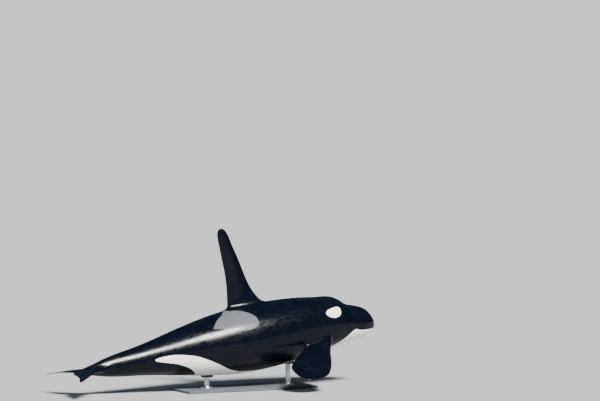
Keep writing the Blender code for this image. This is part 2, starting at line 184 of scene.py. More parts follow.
def backReach(place):
    middle, depth, length = body["hollow"]
    return backHeight(np.sqrt(place)) - depth * np.exp(-(((place - middle) / length) ** 2))


def skinPoint(place, turn):
    place, turn = np.broadcast_arrays(np.asarray(place, float), np.asarray(turn, float))
    root, across = np.sqrt(place), np.cos(turn)
    upper = smoothStep(-body["keelBlend"], body["keelBlend"], across)
    reach = upper * backReach(place) + (1 - upper) * bellyDepth(root)
    keel = upper * backKeel(place) + (1 - upper) * bellyKeel(place)
    side = halfWidth(root) * np.sign(np.sin(turn)) * np.abs(np.sin(turn)) ** keel
    return posed(place, side, reach * across)


def skinNormal(place, turn):
    along = skinPoint(place + slopeStep, turn) - skinPoint(place - slopeStep, turn)
    around = skinPoint(place, turn + slopeStep) - skinPoint(place, turn - slopeStep)
    return unit(np.cross(around, along))


def reachAt(place, upper):
    return np.where(upper, backReach(place), bellyDepth(np.sqrt(place)))


def turnAt(place, height):
    return np.arccos(np.clip(height / reachAt(place, np.asarray(height) >= 0), -1, 1))


def heightAt(place, turn):
    across = np.cos(turn)
    return across * reachAt(np.minimum(place, body["lastRow"]), across > 0)


def straighten(points):
    # place, turn and distance outside the body, as a share of its radius, of points in the pose
    place = np.interp(-points[:, 0], -bonePoints[:, 0], bonePlaces)
    for _ in range(body["straightenRounds"]):
        pitch = pitchAt(place)
        x, z = boneAt(place)
        ahead = (points[:, 0] - x) * np.cos(pitch) + (points[:, 2] - z) * np.sin(pitch)
        place = np.clip(place - ahead, body["firstRow"], body["backboneEnd"])
    height = (points[:, 2] - z) * np.cos(pitch) - (points[:, 0] - x) * np.sin(pitch)
    held = np.minimum(place, body["lastRow"])
    upper = height >= 0
    reach, keel = reachAt(held, upper), np.where(upper, backKeel(held), bellyKeel(held))
    across = (np.abs(points[:, 1]) / halfWidth(np.sqrt(held))) ** (1 / keel)
    turn = np.arctan2(np.sign(points[:, 1]) * across, height / reach)
    return place, turn, np.hypot(across, height / reach) - 1


# The fins. A fin's section starts at its leading edge, and turns over one face to the trailing edge.
dorsalFin = {
    "rearRoot": 3.44,
    "length": 1.72,
    "tipRounding": 0.86,
    # height over the rear root, trailing edge, leading edge
    "outline": (
        (-0.14, 0.010, 1.120),
        (0.17, 0.002, 0.800),
        (0.34, -0.006, 0.638),
        (0.63, -0.032, 0.452),
        (1.05, -0.117, 0.266),
        (1.43, -0.204, 0.088),
        (1.72, -0.262, -0.024),
    ),
    "thickness": ((-0.14, 0.31), (0.10, 0.20), (0.37, 0.142), (0.95, 0.095), (1.72, 0.044)),
    # in the net of the body: places, middle column, columns to each side, the way the fin's section
    # turns, and the radians of the section that the hole's front and rear rows take to each side
    "hole": {"from": 2.42, "to": 3.60, "centre": 0, "half": 6, "direction": 1, "corner": 0.50},
    "fillet": 0.085,
    "rings": 34,
    "lowest": -0.08,
    "highest": 0.35,
}
flipper = {
    "length": 1.50,
    "root": (1.64, -0.315),  # place, height over the backbone
    "dip": math.radians(27),  # of its tip, down
    "sweep": math.radians(33),  # and back
    "twist": math.radians(12),  # of its leading edge, down
    "tipRounding": 0.70,
    # share of the length, leading edge, trailing edge, thickness
    "outline": (
        (-0.22, 0.300, -0.270, 0.260),
        (0.00, 0.268, -0.240, 0.175),
        (0.15, 0.270, -0.252, 0.132),
        (0.35, 0.305, -0.335, 0.100),
        (0.60, 0.336, -0.452, 0.074),
        (0.80, 0.296, -0.486, 0.056),
        (1.00, 0.160, -0.420, 0.034),
    ),
    "hole": {"from": 1.27, "to": 2.10, "centre": 49, "half": 7, "direction": -1, "corner": 0.52},
    "fillet": 0.085,
    "rings": 30,
    "lowest": -0.22,
    "highest": 0.45,
}
fluke = {
    "length": 0.98,
    "gap": 0.0003,  # between the two at their roots
    "droop": 0.10,
    "tipRounding": 0.90,
    # share of the half span, place of the leading edge, place of the trailing edge, thickness
    "outline": (
        (0.00, 6.300, 6.992, 0.120),
        (0.10, 6.462, 7.062, 0.094),
        (0.25, 6.606, 7.124, 0.072),
        (0.50, 6.806, 7.142, 0.048),
        (0.75, 7.006, 7.176, 0.030),
        (1.00, 7.226, 7.280, 0.016),
    ),
    "hole": {"from": 6.20, "to": 6.955, "centre": 36, "half": 10, "direction": -1, "corner": 0.42},
    "fillet": 0.050,
    "rings": 28,
    "lowest": 0.0,
    "highest": 0.40,
    # the white underneath: its ends along the chord, and along the span with their sharpness
    "white": {"chord": (0.10, 0.80), "span": ((0.10, 0.6), (0.94, 0.5))},
}
finShape = {
    "forward": 0.38,  # how far ahead of its middle a section is thickest
    "peak": 1.05,  # of the section's curve before it is scaled to the thickness
    "tipPower": 2.5,
    "filletHold": 0.66,  # how far the handles of a fillet's curve reach towards the root
    "filletRings": 11,
    "tipRings": 15,
    "tipTurn": 87,  # degrees that the rings of the tip go before a point closes it
    "searchRounds": 26,
}


def tipClosing(share, start):
    past = np.clip((share - start) / (1 - start), 0, 1)
    return np.sqrt(1 - past ** finShape["tipPower"])


def foil(lead, trail, up, thickness, turn):
    # round at both edges and thickest a third of the way back
    along = (1 - np.cos(turn)) / 2
    bulge = np.sin(turn) * (1 + finShape["forward"] * np.cos(turn)) / finShape["peak"]
    return lead + (trail - lead) * along[..., None] + up * (thickness / 2 * bulge)[..., None]


def closedEdges(lead, trail, closing):
    middle = (lead + trail) / 2
    return middle + (lead - middle) * closing, middle + (trail - middle) * closing


dorsalLead, dorsalTrail = smoothCurve(dorsalFin["outline"], 2), smoothCurve(dorsalFin["outline"], 1)
dorsalThickness = smoothCurve(dorsalFin["thickness"], 1)
flipperLead, flipperTrail, flipperThickness = (smoothCurve(flipper["outline"], i) for i in (1, 2, 3))
flukeLead, flukeTrail, flukeThickness = (smoothCurve(fluke["outline"], i) for i in (1, 2, 3))


def dorsalPoint(turn, share):
    height = share * dorsalFin["length"]
    closing = tipClosing(share, dorsalFin["tipRounding"])
    front, rear = closedEdges(dorsalLead(height), dorsalTrail(height), closing)
    level = skinPoint(dorsalFin["rearRoot"], 0.0) + height[..., None] * np.array([0, 0, 1.0])
    ahead = np.array([1.0, 0, 0])
    thickness = dorsalThickness(height) * closing**0.5
    edges = level + front[..., None] * ahead, level + rear[..., None] * ahead
    return foil(*edges, np.array([0, 1.0, 0]), thickness, turn)


def flipperPoint(turn, share):
    place, height = flipper["root"]
    root = skinPoint(place, turnAt(place, height))
    sweep = flipper["sweep"] * np.where(share >= 0, 1, 1 - share / flipper["lowest"])
    zero = np.zeros_like(sweep)
    level = np.stack([np.cos(sweep), np.sin(sweep), zero], -1)
    flat = np.stack([-np.sin(sweep), np.cos(sweep), zero], -1)
    outward = flat * math.cos(flipper["dip"]) - np.array([0, 0, math.sin(flipper["dip"])])
    forward = level * math.cos(flipper["twist"]) - np.cross(level, outward) * math.sin(flipper["twist"])
    closing = tipClosing(share, flipper["tipRounding"])
    front, rear = closedEdges(flipperLead(share), flipperTrail(share), closing)
    centre = root + outward * (share * flipper["length"])[..., None]
    thickness = flipperThickness(share) * closing**0.5
    edges = centre + forward * front[..., None], centre + forward * rear[..., None]
    return foil(*edges, np.cross(forward, outward), thickness, turn)


def flukePoint(turn, share):
    closing = tipClosing(share, fluke["tipRounding"])
    front, rear = closedEdges(flukeLead(share), flukeTrail(share), closing)
    across = fluke["gap"] / 2 + share * fluke["length"]
    droop = -fluke["droop"] * share**2
    up = posed(front, 0.0, 1.0) - posed(front, 0.0, 0.0)
    thickness = flukeThickness(share) * closing**0.5
    return foil(posed(front, across, droop), posed(rear, across, droop), up, thickness, turn)


skinParts = {name: [] for name in ("points", "place", "turn", "onBody", "underFluke", "faces")}
markReach = 0.12  # the markings' signed distances stop here


def addPoints(points, place=0.0, turn=0.0, onBody=0.0, underFluke=-markReach):
    first = sum(len(part) for part in skinParts["points"])
    known = {"place": place, "turn": turn, "onBody": onBody, "underFluke": underFluke}
    for name, values in known.items():
        skinParts[name].append(np.broadcast_to(values, len(points)))
    skinParts["points"].append(points)
    return np.arange(first, first + len(points))


def bridge(ring, after):
    corners = ring, np.roll(ring, -1), np.roll(after, -1), after
    skinParts["faces"] += np.stack(corners, 1).tolist()


def addRing(ring, points, side, underFluke=-markReach):
    after = addPoints(mirrored(points, side), underFluke=underFluke)
    bridge(ring, after)
    return after


def closeRing(ring, pole, side=1):
    last = addPoints(mirrored(pole, side))
    skinParts["faces"] += [[int(a), int(b), int(last[0])] for a, b in zip(ring, np.roll(ring, -1))]


bodyTurns = turns(body["columns"])


def bodyRows():
    stepPlaces, steps = zip(*body["rowSteps"])
    rows, place = [], body["firstRow"]
    while place < body["lastRow"]:
        rows.append(place)
        place += min(np.interp(place, stepPlaces, steps), body["snoutStep"] * math.sqrt(place))
    rows[-1] = body["lastRow"]
    return np.array(rows)


def rowNear(rows, place):
    return int(np.argmin(np.abs(rows - place)))


def onSide(hole, side):
    # a hole of the left side, or the same one on the right
    if side > 0:
        return hole
    return {**hole, "centre": -hole["centre"] % body["columns"], "direction": -hole["direction"]}


def holeLoop(rows, hole):
    # rows, columns, and the hole's outline as a turn about a fin's section would count it
    first, last, half = rowNear(rows, hole["from"]), rowNear(rows, hole["to"]), hole["half"]
    corner = hole["corner"]

    def beside(i):
        return corner + (math.pi - 2 * corner) * (rows[i] - rows[first]) / (rows[last] - rows[first])

    loop = [(first, a, corner * a / half) for a in range(-half, half)]
    loop += [(i, half, beside(i)) for i in range(first, last)]
    loop += [(last, a, math.pi - corner * a / half) for a in range(half, -half, -1)]
    loop += [(i, -half, 2 * math.pi - beside(i)) for i in range(last, first, -1)]
    i, a, turn = (np.array(column) for column in zip(*loop))
    return i, (hole["centre"] + hole["direction"] * a) % body["columns"], turn


def layBody(rows, holes):
    # lays the net and returns the number of the point at each row and column
    columns = body["columns"]
    keepPoint = np.ones((len(rows), columns), bool)
    keepFace = np.ones((len(rows) - 1, columns), bool)
    for hole in holes:
        first, last = rowNear(rows, hole["from"]), rowNear(rows, hole["to"])
        across = (hole["centre"] + np.arange(-hole["half"], hole["half"])) % columns
        keepFace[first:last, across] = False
        keepPoint[first + 1 : last, across[1:]] = False
    place, turn = np.meshgrid(rows, bodyTurns, indexing="ij")
    net = np.full(keepPoint.shape, -1)
    place, turn = place[keepPoint], turn[keepPoint]
    net[keepPoint] = addPoints(skinPoint(place, turn), place, turn, 1.0)
    beside = np.roll(net, -1, 1)
    faces = np.stack([net[:-1], beside[:-1], beside[1:], net[1:]], -1)[keepFace]
    skinParts["faces"] += faces.tolist()
    for ring, place in ((net[0], 0.0), (net[-1], body["tailPole"])):
        closeRing(ring, posed(np.array([place]), 0.0, 0.0))
    return net


def rootShare(fin, pointAt, turn):
    # the share of the fin's length where each line along it comes out of the body
    low, high = np.full(len(turn), fin["lowest"]), np.full(len(turn), fin["highest"])
    for _ in range(finShape["searchRounds"]):
        middle = (low + high) / 2
        inside = straighten(pointAt(turn, middle))[2] < 0
        low, high = np.where(inside, middle, low), np.where(inside, high, middle)
    return low


def whiteUnder(turn, share):
    # metres inside the white under a fluke, less than nothing outside
    front, rear = fluke["white"]["chord"]
    (start, startSharpness), (end, endSharpness) = fluke["white"]["span"]
    along = (1 - np.cos(turn)) / 2
    white = np.minimum(along - front, rear - along) * (flukeTrail(share) - flukeLead(share))
    white = np.minimum(white, (end - share) * endSharpness)
    white = np.minimum(white, (share - start) * startSharpness)
    return np.clip(np.where(np.sin(turn) < 0, white, -markReach), -markReach, markReach)


def growFin(fin, pointAt, rows, net, side=1, markUnder=False):
    i, column, turn = holeLoop(rows, onSide(fin["hole"], side))
    edge, normal = (mirrored(find(rows[i], bodyTurns[column]), side) for find in (skinPoint, skinNormal))
    low = rootShare(fin, pointAt, turn)
    root = pointAt(turn, low)
    startShare = low + fin["fillet"] / fin["length"]
    start = pointAt(turn, startShare)
    # the fillet leaves the body level with the skin and runs into the fin along its lines
    towardsRoot = root - edge
    towardsRoot -= normal * np.sum(towardsRoot * normal, -1, keepdims=True)
    hold = finShape["filletHold"]
    controls = edge, edge + towardsRoot * hold, start + (root - start) * hold, start
    ring = net[i, column]
    for t in np.linspace(0, 1, finShape["filletRings"])[1:-1]:
        weights = (1 - t) ** 3, 3 * (1 - t) ** 2 * t, 3 * (1 - t) * t**2, t**3
        ring = addRing(ring, sum(w * c for w, c in zip(weights, controls)), side)
    base, rounding = float(startShare.mean()), fin["tipRounding"]
    straight = base + (rounding - base) * np.arange(fin["rings"]) / fin["rings"]
    tipTurns = np.radians(np.linspace(0, finShape["tipTurn"], finShape["tipRings"]))
    for level in (*straight, *(rounding + (1 - rounding) * np.sin(tipTurns))):
        share = level + (startShare - base) * ((1 - level) / (1 - base)) ** 2
        under = whiteUnder(turn, share) if markUnder else -markReach
        ring = addRing(ring, pointAt(turn, share), side, under)
    closeRing(ring, pointAt(np.zeros(1), np.ones(1)), side)


eye = {
    "place": 0.785,
    "height": 0.014,
    "radius": 0.027,
    "depth": 0.023,  # of the eyeball's centre under the skin
    "cornea": (0.0010, 0.60),  # rise, and the angle from the pupil where it starts
    "opening": (0.0240, 0.0135),  # half length, half height
    "lidEdge": 0.0034,  # thickness of the lids at the opening
    "swelling": (0.010, 0.070, 0.050),  # height, half length, half height
    "reach": 0.2,  # the swelling lifts the skin no further in than this
    "rounding": 0.9,  # times the opening's size, over which the lids round off
    "hole": {"from": 0.690, "to": 0.880, "centre": 35, "half": 5, "direction": -1, "corner": 0.5},
    "creases": ((2.05, 0.0020, 0.16), (2.9, 0.0012, 0.25)),  # times the opening's size, depth, width
    "cornerSharpness": 1.2,  # of the opening: 1 is an ellipse
    "ballFaces": (64, 40),
    "lidRings": 24,
    "lidSpread": (0.96, 1.7),  # where the first ring lies between opening and hole, and how they crowd
    "pocketRings": 12,
    "pocketGap": 0.0016,  # between the eyeball and the pocket round it
    "pocketStart": 0.02,  # radians behind the lids' edge
    "frameStep": 0.02,  # how far apart two points are that show which way the eye faces
    "searchStep": 0.01,
    "searchRounds": 6,  # in which the skin under a place of the lids is found
}


def eyeFrame():
    turn, step = turnAt(eye["place"], eye["height"]), eye["frameStep"]
    skin = skinPoint(eye["place"], turn)
    forward = unit(skinPoint(eye["place"] - step, turn) - skin)
    up = unit(skinPoint(eye["place"], turn - step) - skin)
    outward = unit(np.cross(up, forward))
    return skin, forward, outward, np.cross(forward, outward)


eyeSkin, eyeForward, eyeOutward, eyeUp = eyeFrame()
eyeCentre = eyeSkin - eyeOutward * eye["depth"]


def eyeSwelling(a, b):
    height, long, high = eye["swelling"]
    return height * np.exp(-((a / long) ** 2) - (b / high) ** 2)


def eyeballFront(a, b):
    # how far the eyeball stands out of the skin, ahead and above of its middle by a and b
    return np.sqrt(eye["radius"] ** 2 - a * a - b * b) - eye["depth"]


def fromEye(origin, a, b, out):
    return origin + a[:, None] * eyeForward + b[:, None] * eyeUp + out[:, None] * eyeOutward


def skinUnder(a, b):
    # the skin under places ahead and above of the eye's middle, found by a few steps from there
    middle, step = float(turnAt(eye["place"], eye["height"])), eye["searchStep"]
    moves = [
        (skinPoint(eye["place"] + step, middle) - eyeSkin) / step,
        (skinPoint(eye["place"], middle + step) - eyeSkin) / step,
    ]
    back = np.linalg.inv(np.array([[move @ axis for move in moves] for axis in (eyeForward, eyeUp)]))
    place, turn = np.full(len(a), eye["place"]), np.full(len(a), middle)
    for _ in range(eye["searchRounds"]):
        at = skinPoint(place, turn) - eyeSkin
        miss = np.stack([a - at @ eyeForward, b - at @ eyeUp])
        place, turn = place + back[0] @ miss, turn + back[1] @ miss
    return skinPoint(place, turn)


def makeLids(rows, net, side):
    i, column, _ = holeLoop(rows, onSide(eye["hole"], side))
    edge = mirrored(skinPoint(rows[i], bodyTurns[column]), side) - eyeSkin
    edgeA, edgeB = edge @ eyeForward, edge @ eyeUp
    angle = np.arctan2(edgeB, edgeA)
    long, high = eye["opening"]
    lidA = long * np.cos(angle)
    lidB = high * np.sign(np.sin(angle)) * np.abs(np.sin(angle)) ** eye["cornerSharpness"]
    lidOut = eyeballFront(lidA, lidB) + eye["lidEdge"]
    ring = net[i, column]
    firstRing, crowding = eye["lidSpread"]
    for share in np.linspace(firstRing, 0, eye["lidRings"]) ** crowding:
        a, b = lidA + (edgeA - lidA) * share, lidB + (edgeB - lidB) * share
        out = (skinUnder(a, b) - eyeSkin) @ eyeOutward + eyeSwelling(a, b)
        reach = np.hypot(a / long, b / high)
        for where, depth, width in eye["creases"]:
            out = out - depth * bump(reach - where, width) * np.abs(np.sin(angle)) ** 0.5
        rounded = np.sqrt(1 - (1 - np.clip((reach - 1) / eye["rounding"], 0, 1)) ** 2)
        ring = addRing(ring, fromEye(eyeSkin, a, b, lidOut + (out - lidOut) * rounded), side)
    # the pocket behind the lids, round the eyeball
    polar = np.arcsin(np.hypot(lidA, lidB) / eye["radius"]) + eye["pocketStart"]
    around, radius = np.arctan2(lidB, lidA), eye["radius"] + eye["pocketGap"]
    for share in np.linspace(0, 1, eye["pocketRings"])[:-1]:
        turned = polar + (math.pi - polar) * share
        a, b, out = np.sin(turned) * np.cos(around), np.sin(turned) * np.sin(around), np.cos(turned)
        ring = addRing(ring, fromEye(eyeCentre, radius * a, radius * b, radius * out), side)
    closeRing(ring, np.array([eyeCentre - radius * eyeOutward]), side)


mouth = {
    # place, height over the backbone
    "line": ((0.00, -0.066), (0.15, -0.080), (0.32, -0.104), (0.48, -0.114), (0.62, -0.096)),
    "corner": 0.62,
    "beyond": 0.05,  # the line is followed so far behind its corner
    "fade": 0.03,  # the groove ends over so much to either side of its corner
    "depth": 0.011,
    "halfWidth": 0.0042,
    "lip": (0.0040, 0.014, 0.010),  # height, distance from the line, width
    # how far the jaw is set back under the line, over what heights it starts and ends, and what places
    "overbite": (0.005, (0.004, -0.004), (-0.14, -0.02), (0.50, 0.20)),
    # over the upper lip: depth, height over the line, width, and over what places it ends and starts
    "furrow": (0.0045, 0.100, 0.026, (0.40, 0.18), (0.0, 0.06)),
}
blowhole = {
    "place": 0.90,
    "radius": 0.062,
    "squash": 0.8,  # of the crescent along the body
    "arc": math.radians(78),
    "depth": 0.012,
    "halfWidth": 0.0056,
    "lip": (0.0045, 0.016, 0.012),  # height, distance from the line, width
    "mound": (0.006, 0.11, 0.03),  # height, radius, and how far its middle is ahead of the crescent's
    "ends": (0.72, 0.25),  # share of the arc where it starts to grow shallow, and the depth left at its end
}
slits = {
    "places": ((4.30, 4.70, 0.012), (4.90, 4.95, 0.008), (3.34, 3.38, 0.006)),  # from, to, depth
    "halfWidth": 0.007,
    "lip": (0.0035, 0.022, 0.014),
}
mouthHeight = smoothCurve(mouth["line"], 1)


def fromMouth(place, height):
    return height - mouthHeight(np.minimum(place, mouth["corner"] + mouth["beyond"]))


def fromBlowhole(place, side, height):
    # the distance from the crescent, and how deep it is there as a share
    radius, arc = blowhole["radius"], blowhole["arc"]
    back = (place - blowhole["place"]) / blowhole["squash"] + radius
    swing = np.clip(np.arctan2(side, back), -arc, arc)
    away = np.hypot(back - radius * np.cos(swing), side - radius * np.sin(swing))
    shallowFrom, least = blowhole["ends"]
    deep = least + (1 - least) * smoothStep(1, shallowFrom, np.abs(swing) / arc)
    return np.where(height > 0, away, 1.0), deep


def fromSlit(place, side, height, slit):
    away = np.hypot(place - np.clip(place, slit[0], slit[1]), side)
    return np.where(height < 0, away, 1.0)


def bump(distance, width):
    return np.exp(-((distance / width) ** 2))


def grooveAndLips(away, depth, halfWidth, lip):
    height, distance, width = lip
    return height * bump(np.abs(away) - distance, width) - depth * bump(away, halfWidth)


def skinRelief(place, side, height):
    # how far the skin stands out of the plain body, from the face's forms and the belly's slits
    away, fade = fromMouth(place, height), mouth["fade"]
    out = grooveAndLips(away, mouth["depth"], mouth["halfWidth"], mouth["lip"])
    out *= smoothStep(mouth["corner"] + fade, mouth["corner"] - fade, place)
    depth, underLine, underJaw, ends = mouth["overbite"]
    out -= depth * smoothStep(*underLine, away) * smoothStep(*underJaw, away) * smoothStep(*ends, place)
    depth, over, width, ends, starts = mouth["furrow"]
    out -= depth * bump(away - over, width) * smoothStep(*ends, place) * smoothStep(*starts, place)
    away, deep = fromBlowhole(place, side, height)
    out += grooveAndLips(away, blowhole["depth"] * deep, blowhole["halfWidth"], blowhole["lip"])
    rise, radius, ahead = blowhole["mound"]
    out += rise * bump(np.hypot(place - blowhole["place"] + ahead, side), radius) * (height > 0)
    for slit in slits["places"]:
        away = fromSlit(place, side, height, slit)
        out += grooveAndLips(away, slit[2], slits["halfWidth"], slits["lip"])
    return out


# long, low waves of flesh, so that the gloss doesn't run dead straight
waves = {
    "height": 0.0012,
    "starts": (0.95, 1.3),
    # share, then two sines: radians to the metre along X, Y and Z, and a shift
    "sines": (
        (1.0, (3.1, 4.3, 0.0, 0.6), (-2.2, 0.0, 5.2, 1.1)),
        (0.6, (7.4, 0.0, -1.7, 0.0), (0.0, 6.3, 5.1, 0.4)),
    ),
}


def swell(points):
    total = 0
    for share, *sines in waves["sines"]:
        first, second = (np.sin(points @ sine[:3] + sine[3]) for sine in sines)
        total = total + share * first * second
    return waves["height"] * total


# what each point of the skin knows about its place on the body
carried = ("place", "turnCos", "turnSin", "onBody", "underFluke")
wholly = 0.99  # a point is the body's own where its onBody is over this
finer = {
    "within": (0.034, 0.017, 0.0078),  # the faces are halved once within each distance of a groove
    "blowhole": 0.5,  # the share of the distance from it that counts
    "slits": 0.004,  # counted on top of the distance from them
}


def refine(shape):
    # smaller faces along the mouth, the blowhole and the slits
    layers = [shape.verts.layers.float[name] for name in carried[:-1]]
    zones = (
        lambda p, s, h: np.where(p < mouth["corner"] + mouth["beyond"], np.abs(fromMouth(p, h)), 1.0),
        lambda p, s, h: fromBlowhole(p, s, h)[0] * finer["blowhole"],
        *(lambda p, s, h, slit=slit: fromSlit(p, s, h, slit) + finer["slits"] for slit in slits["places"]),
    )
    for width in finer["within"]:
        shape.verts.ensure_lookup_table()
        place, cosTurn, sinTurn, onBody = np.array([[v[layer] for layer in layers] for v in shape.verts]).T
        place, turn = np.maximum(place, body["firstRow"]), np.arctan2(sinTurn, cosTurn)
        side, height = halfWidth(np.sqrt(place)) * np.sin(turn), heightAt(place, turn)
        near = np.any([zone(place, side, height) < width for zone in zones], 0) & (onBody > wholly)
        shape.verts.index_update()
        faces = [f for f in shape.faces if all(near[v.index] for v in f.verts) and len(f.verts) == 4]
        edges = list({e for f in faces for e in f.edges})
        bmesh.ops.subdivide_edges(shape, edges=edges, cuts=1, use_grid_fill=True)


def evenOut(mesh, points, share, rounds, spread=0):
    # draws each point towards the middle of its neighbours, as far as its share says
    ends = np.zeros(len(mesh.edges) * 2, np.int32)
    mesh.edges.foreach_get("vertices", ends)
    first, second = ends.reshape(-1, 2).T
    count = len(points)
    links = np.bincount(first, minlength=count) + np.bincount(second, minlength=count)

    def neighbours(values):
        return (np.bincount(first, values[second], count) + np.bincount(second, values[first], count)) / links

    for _ in range(spread):
        share = np.maximum(share, neighbours(share))
    for _ in range(rounds):
        middle = np.stack([neighbours(column) for column in points.T], 1)
        points = points + softening["step"] * share[:, None] * (middle - points)
    return points


def putAttribute(mesh, name, values):
    attribute = mesh.attributes.get(name) or mesh.attributes.new(name, "FLOAT", "POINT")
    attribute.data.foreach_set("value", np.ascontiguousarray(values, np.float32))


def readAttribute(mesh, name):
    values = np.zeros(len(mesh.vertices), np.float32)
    mesh.attributes[name].data.foreach_get("value", values)
    return values.astype(float)


def readVectors(items, name):
    values = np.zeros(len(items) * 3)
    items.foreach_get(name, values)
    return values.reshape(-1, 3)


def turnOut(mesh, change=None):
    # makes a change if one is given, and turns all faces outwards
    shape = bmesh.new()
    shape.from_mesh(mesh)
    if change:
        change(shape)
    bmesh.ops.recalc_face_normals(shape, faces=shape.faces)
    shape.to_mesh(mesh)
    shape.free()


def linkMesh(name, mesh, material, sharp=None):
    # the finished piece, shaded smooth, with its edges sharp from so many degrees on
    mesh.shade_smooth()
    if sharp:
        mesh.set_sharp_from_angle(angle=math.radians(sharp))
    mesh.materials.append(material)
    made = bpy.data.objects.new(name, mesh)
    bpy.context.scene.collection.objects.link(made)
    return made


# where the fins leave the body, and over the tail's end, the skin is drawn smooth
softening = {
    "from": 1.0,  # ahead of it are the lids, which stay as they are
    "lift": (0.09, 0.03),  # height over the body where it ends, and where it is full
    "rounds": 14,
    "spread": 6,  # faces that it reaches out over the body
    "tailFrom": (6.30, 6.60),
    "tailSide": (0.26, 0.12),
    "tailRounds": 90,
    "step": 0.5,  # of the way to the neighbours' middle in each round
}


# The markings, as outlines of place and turn in degrees.
markings = {
    "eyePatch": (
        (1.402, 64), (1.358, 57), (1.270, 53.5), (1.160, 50.5), (1.080, 49.5), (1.036, 53),
        (1.029, 60), (1.052, 67), (1.115, 72), (1.215, 74), (1.325, 71),
    ),
    "saddle": (
        (3.455, 12), (3.350, 16), (3.250, 22), (3.160, 30), (3.055, 40), (3.003, 49), (3.006, 58),
        (3.090, 65), (3.260, 67), (3.520, 63), (3.790, 55), (3.975, 49), (3.925, 41), (3.850, 33.5),
        (3.765, 26.5), (3.685, 21), (3.620, 14), (3.570, 5), (3.550, -6), (3.515, -6), (3.500, 4),
    ),
    "flankLobe": (
        (3.40, 160), (3.72, 141), (4.05, 120), (4.45, 99), (4.88, 86), (5.20, 84), (5.32, 90),
        (5.16, 101), (4.86, 113), (4.60, 130), (4.46, 150), (4.36, 170), (3.80, 172),
    ),
    "arcEnds": (0.01, 6.9),  # past these places the body counts as no thinner
    "lipEdge": 0.004,  # the white starts so far under the line of the mouth
    "chinEnds": (-0.08, 0.04),  # behind the mouth's corner, where the line of the throat takes over
    "bellyEnds": (5.15, 5.35),  # where the white starts to draw in, and where it ends
    # place, turn where the white of the throat and belly begins
    "throat": (
        (0.58, 104), (0.68, 108), (0.80, 121), (0.95, 134), (1.15, 145), (1.45, 152), (1.90, 158),
        (2.50, 160), (3.10, 158), (3.60, 151), (4.00, 151), (4.40, 160), (4.80, 170), (5.10, 184),
    ),
}


def arcScale(place):
    # metres along the skin to a radian of turn
    root = np.sqrt(np.clip(place, *markings["arcEnds"]))
    return (halfWidth(root) + (backHeight(root) + bellyDepth(root)) / 2) / 2


def patchDistance(place, turn, outline, steps=7):
    # metres inside a closed smooth outline, less than nothing outside
    knots = np.array([(p, math.radians(t) * arcScale(p)) for p, t in outline])
    before, after, last = (np.roll(knots, shift, 0) for shift in (1, -1, -2))
    corners = []
    for t in np.arange(steps) / steps:
        curve = 2 * knots + (after - before) * t + (2 * before - 5 * knots + 4 * after - last) * t**2
        corners.append((curve + (3 * knots - before - 3 * after + last) * t**3) / 2)
    corners = np.stack(corners, 1).reshape(-1, 2)
    at = np.stack([place, np.abs(turn) * arcScale(place)], 1)
    result = np.full(len(at), -markReach)
    low, high = corners.min(0) - markReach, corners.max(0) + markReach
    near = np.all((at > low) & (at < high), 1)
    point = at[near][:, None]
    start, end = corners[None], np.roll(corners, -1, 0)[None]
    run = end - start
    share = np.clip(np.sum((point - start) * run, -1) / np.sum(run * run, -1), 0, 1)
    away = np.linalg.norm(point - start - run * share[..., None], axis=-1).min(1)
    spans = (start[..., 1] > point[..., 1]) != (end[..., 1] > point[..., 1])
    rise = np.where(run[..., 1] == 0, 1, run[..., 1])
    crossing = start[..., 0] + (point[..., 1] - start[..., 1]) * run[..., 0] / rise
    inside = np.sum(spans & (point[..., 0] < crossing), 1) % 2 == 1
    result[near] = np.where(inside, away, -away)
    return result


def markSkin(mesh, place, turn, lift, underFluke):
    # lift is how far a point stands out of the body, on a fin
    corner, drawIn, end = mouth["corner"], *markings["bellyEnds"]
    chin = mouthHeight(np.minimum(place, corner)) - markings["lipEdge"] - heightAt(place, turn)
    throat = markings["throat"]
    throatTurn = np.radians(smoothCurve(throat, 1)(np.clip(place, throat[0][0], throat[-1][0])))
    toThroat = smoothStep(*(corner + shift for shift in markings["chinEnds"]), place)
    white = chin * (1 - toThroat) + (np.abs(turn) - throatTurn) * arcScale(place) * toThroat
    white = np.maximum(white, patchDistance(place, turn, markings["flankLobe"]))
    white = np.where(place > drawIn, np.minimum(white, end - place), white)
    white = np.maximum(white, patchDistance(place, turn, markings["eyePatch"])) - lift
    saddle = patchDistance(place, turn, markings["saddle"]) - lift
    for name, distance in (("whiteMark", np.maximum(white, underFluke)), ("saddleMark", saddle)):
        putAttribute(mesh, name, np.clip(distance, -markReach, markReach))


def weaveSkin():
    # the net with its fins and lids, as a mesh whose points know their places
    rows = bodyRows()
    holes = [dorsalFin["hole"]]
    holes += [onSide(piece["hole"], side) for piece in (flipper, fluke, eye) for side in (1, -1)]
    net = layBody(rows, holes)
    growFin(dorsalFin, dorsalPoint, rows, net)
    for side in (1, -1):
        growFin(flipper, flipperPoint, rows, net, side)
        growFin(fluke, flukePoint, rows, net, side, markUnder=True)
        makeLids(rows, net, side)
    points, place, turn, onBody, underFluke = (
        np.concatenate(skinParts[name]) for name in ("points", "place", "turn", "onBody", "underFluke")
    )
    mesh = bpy.data.meshes.new("skin")
    mesh.from_pydata(points.tolist(), [], skinParts["faces"])
    for name, values in zip(carried, (place, np.cos(turn), np.sin(turn), onBody, underFluke)):
        putAttribute(mesh, name, values)
    turnOut(mesh, refine)
    return mesh


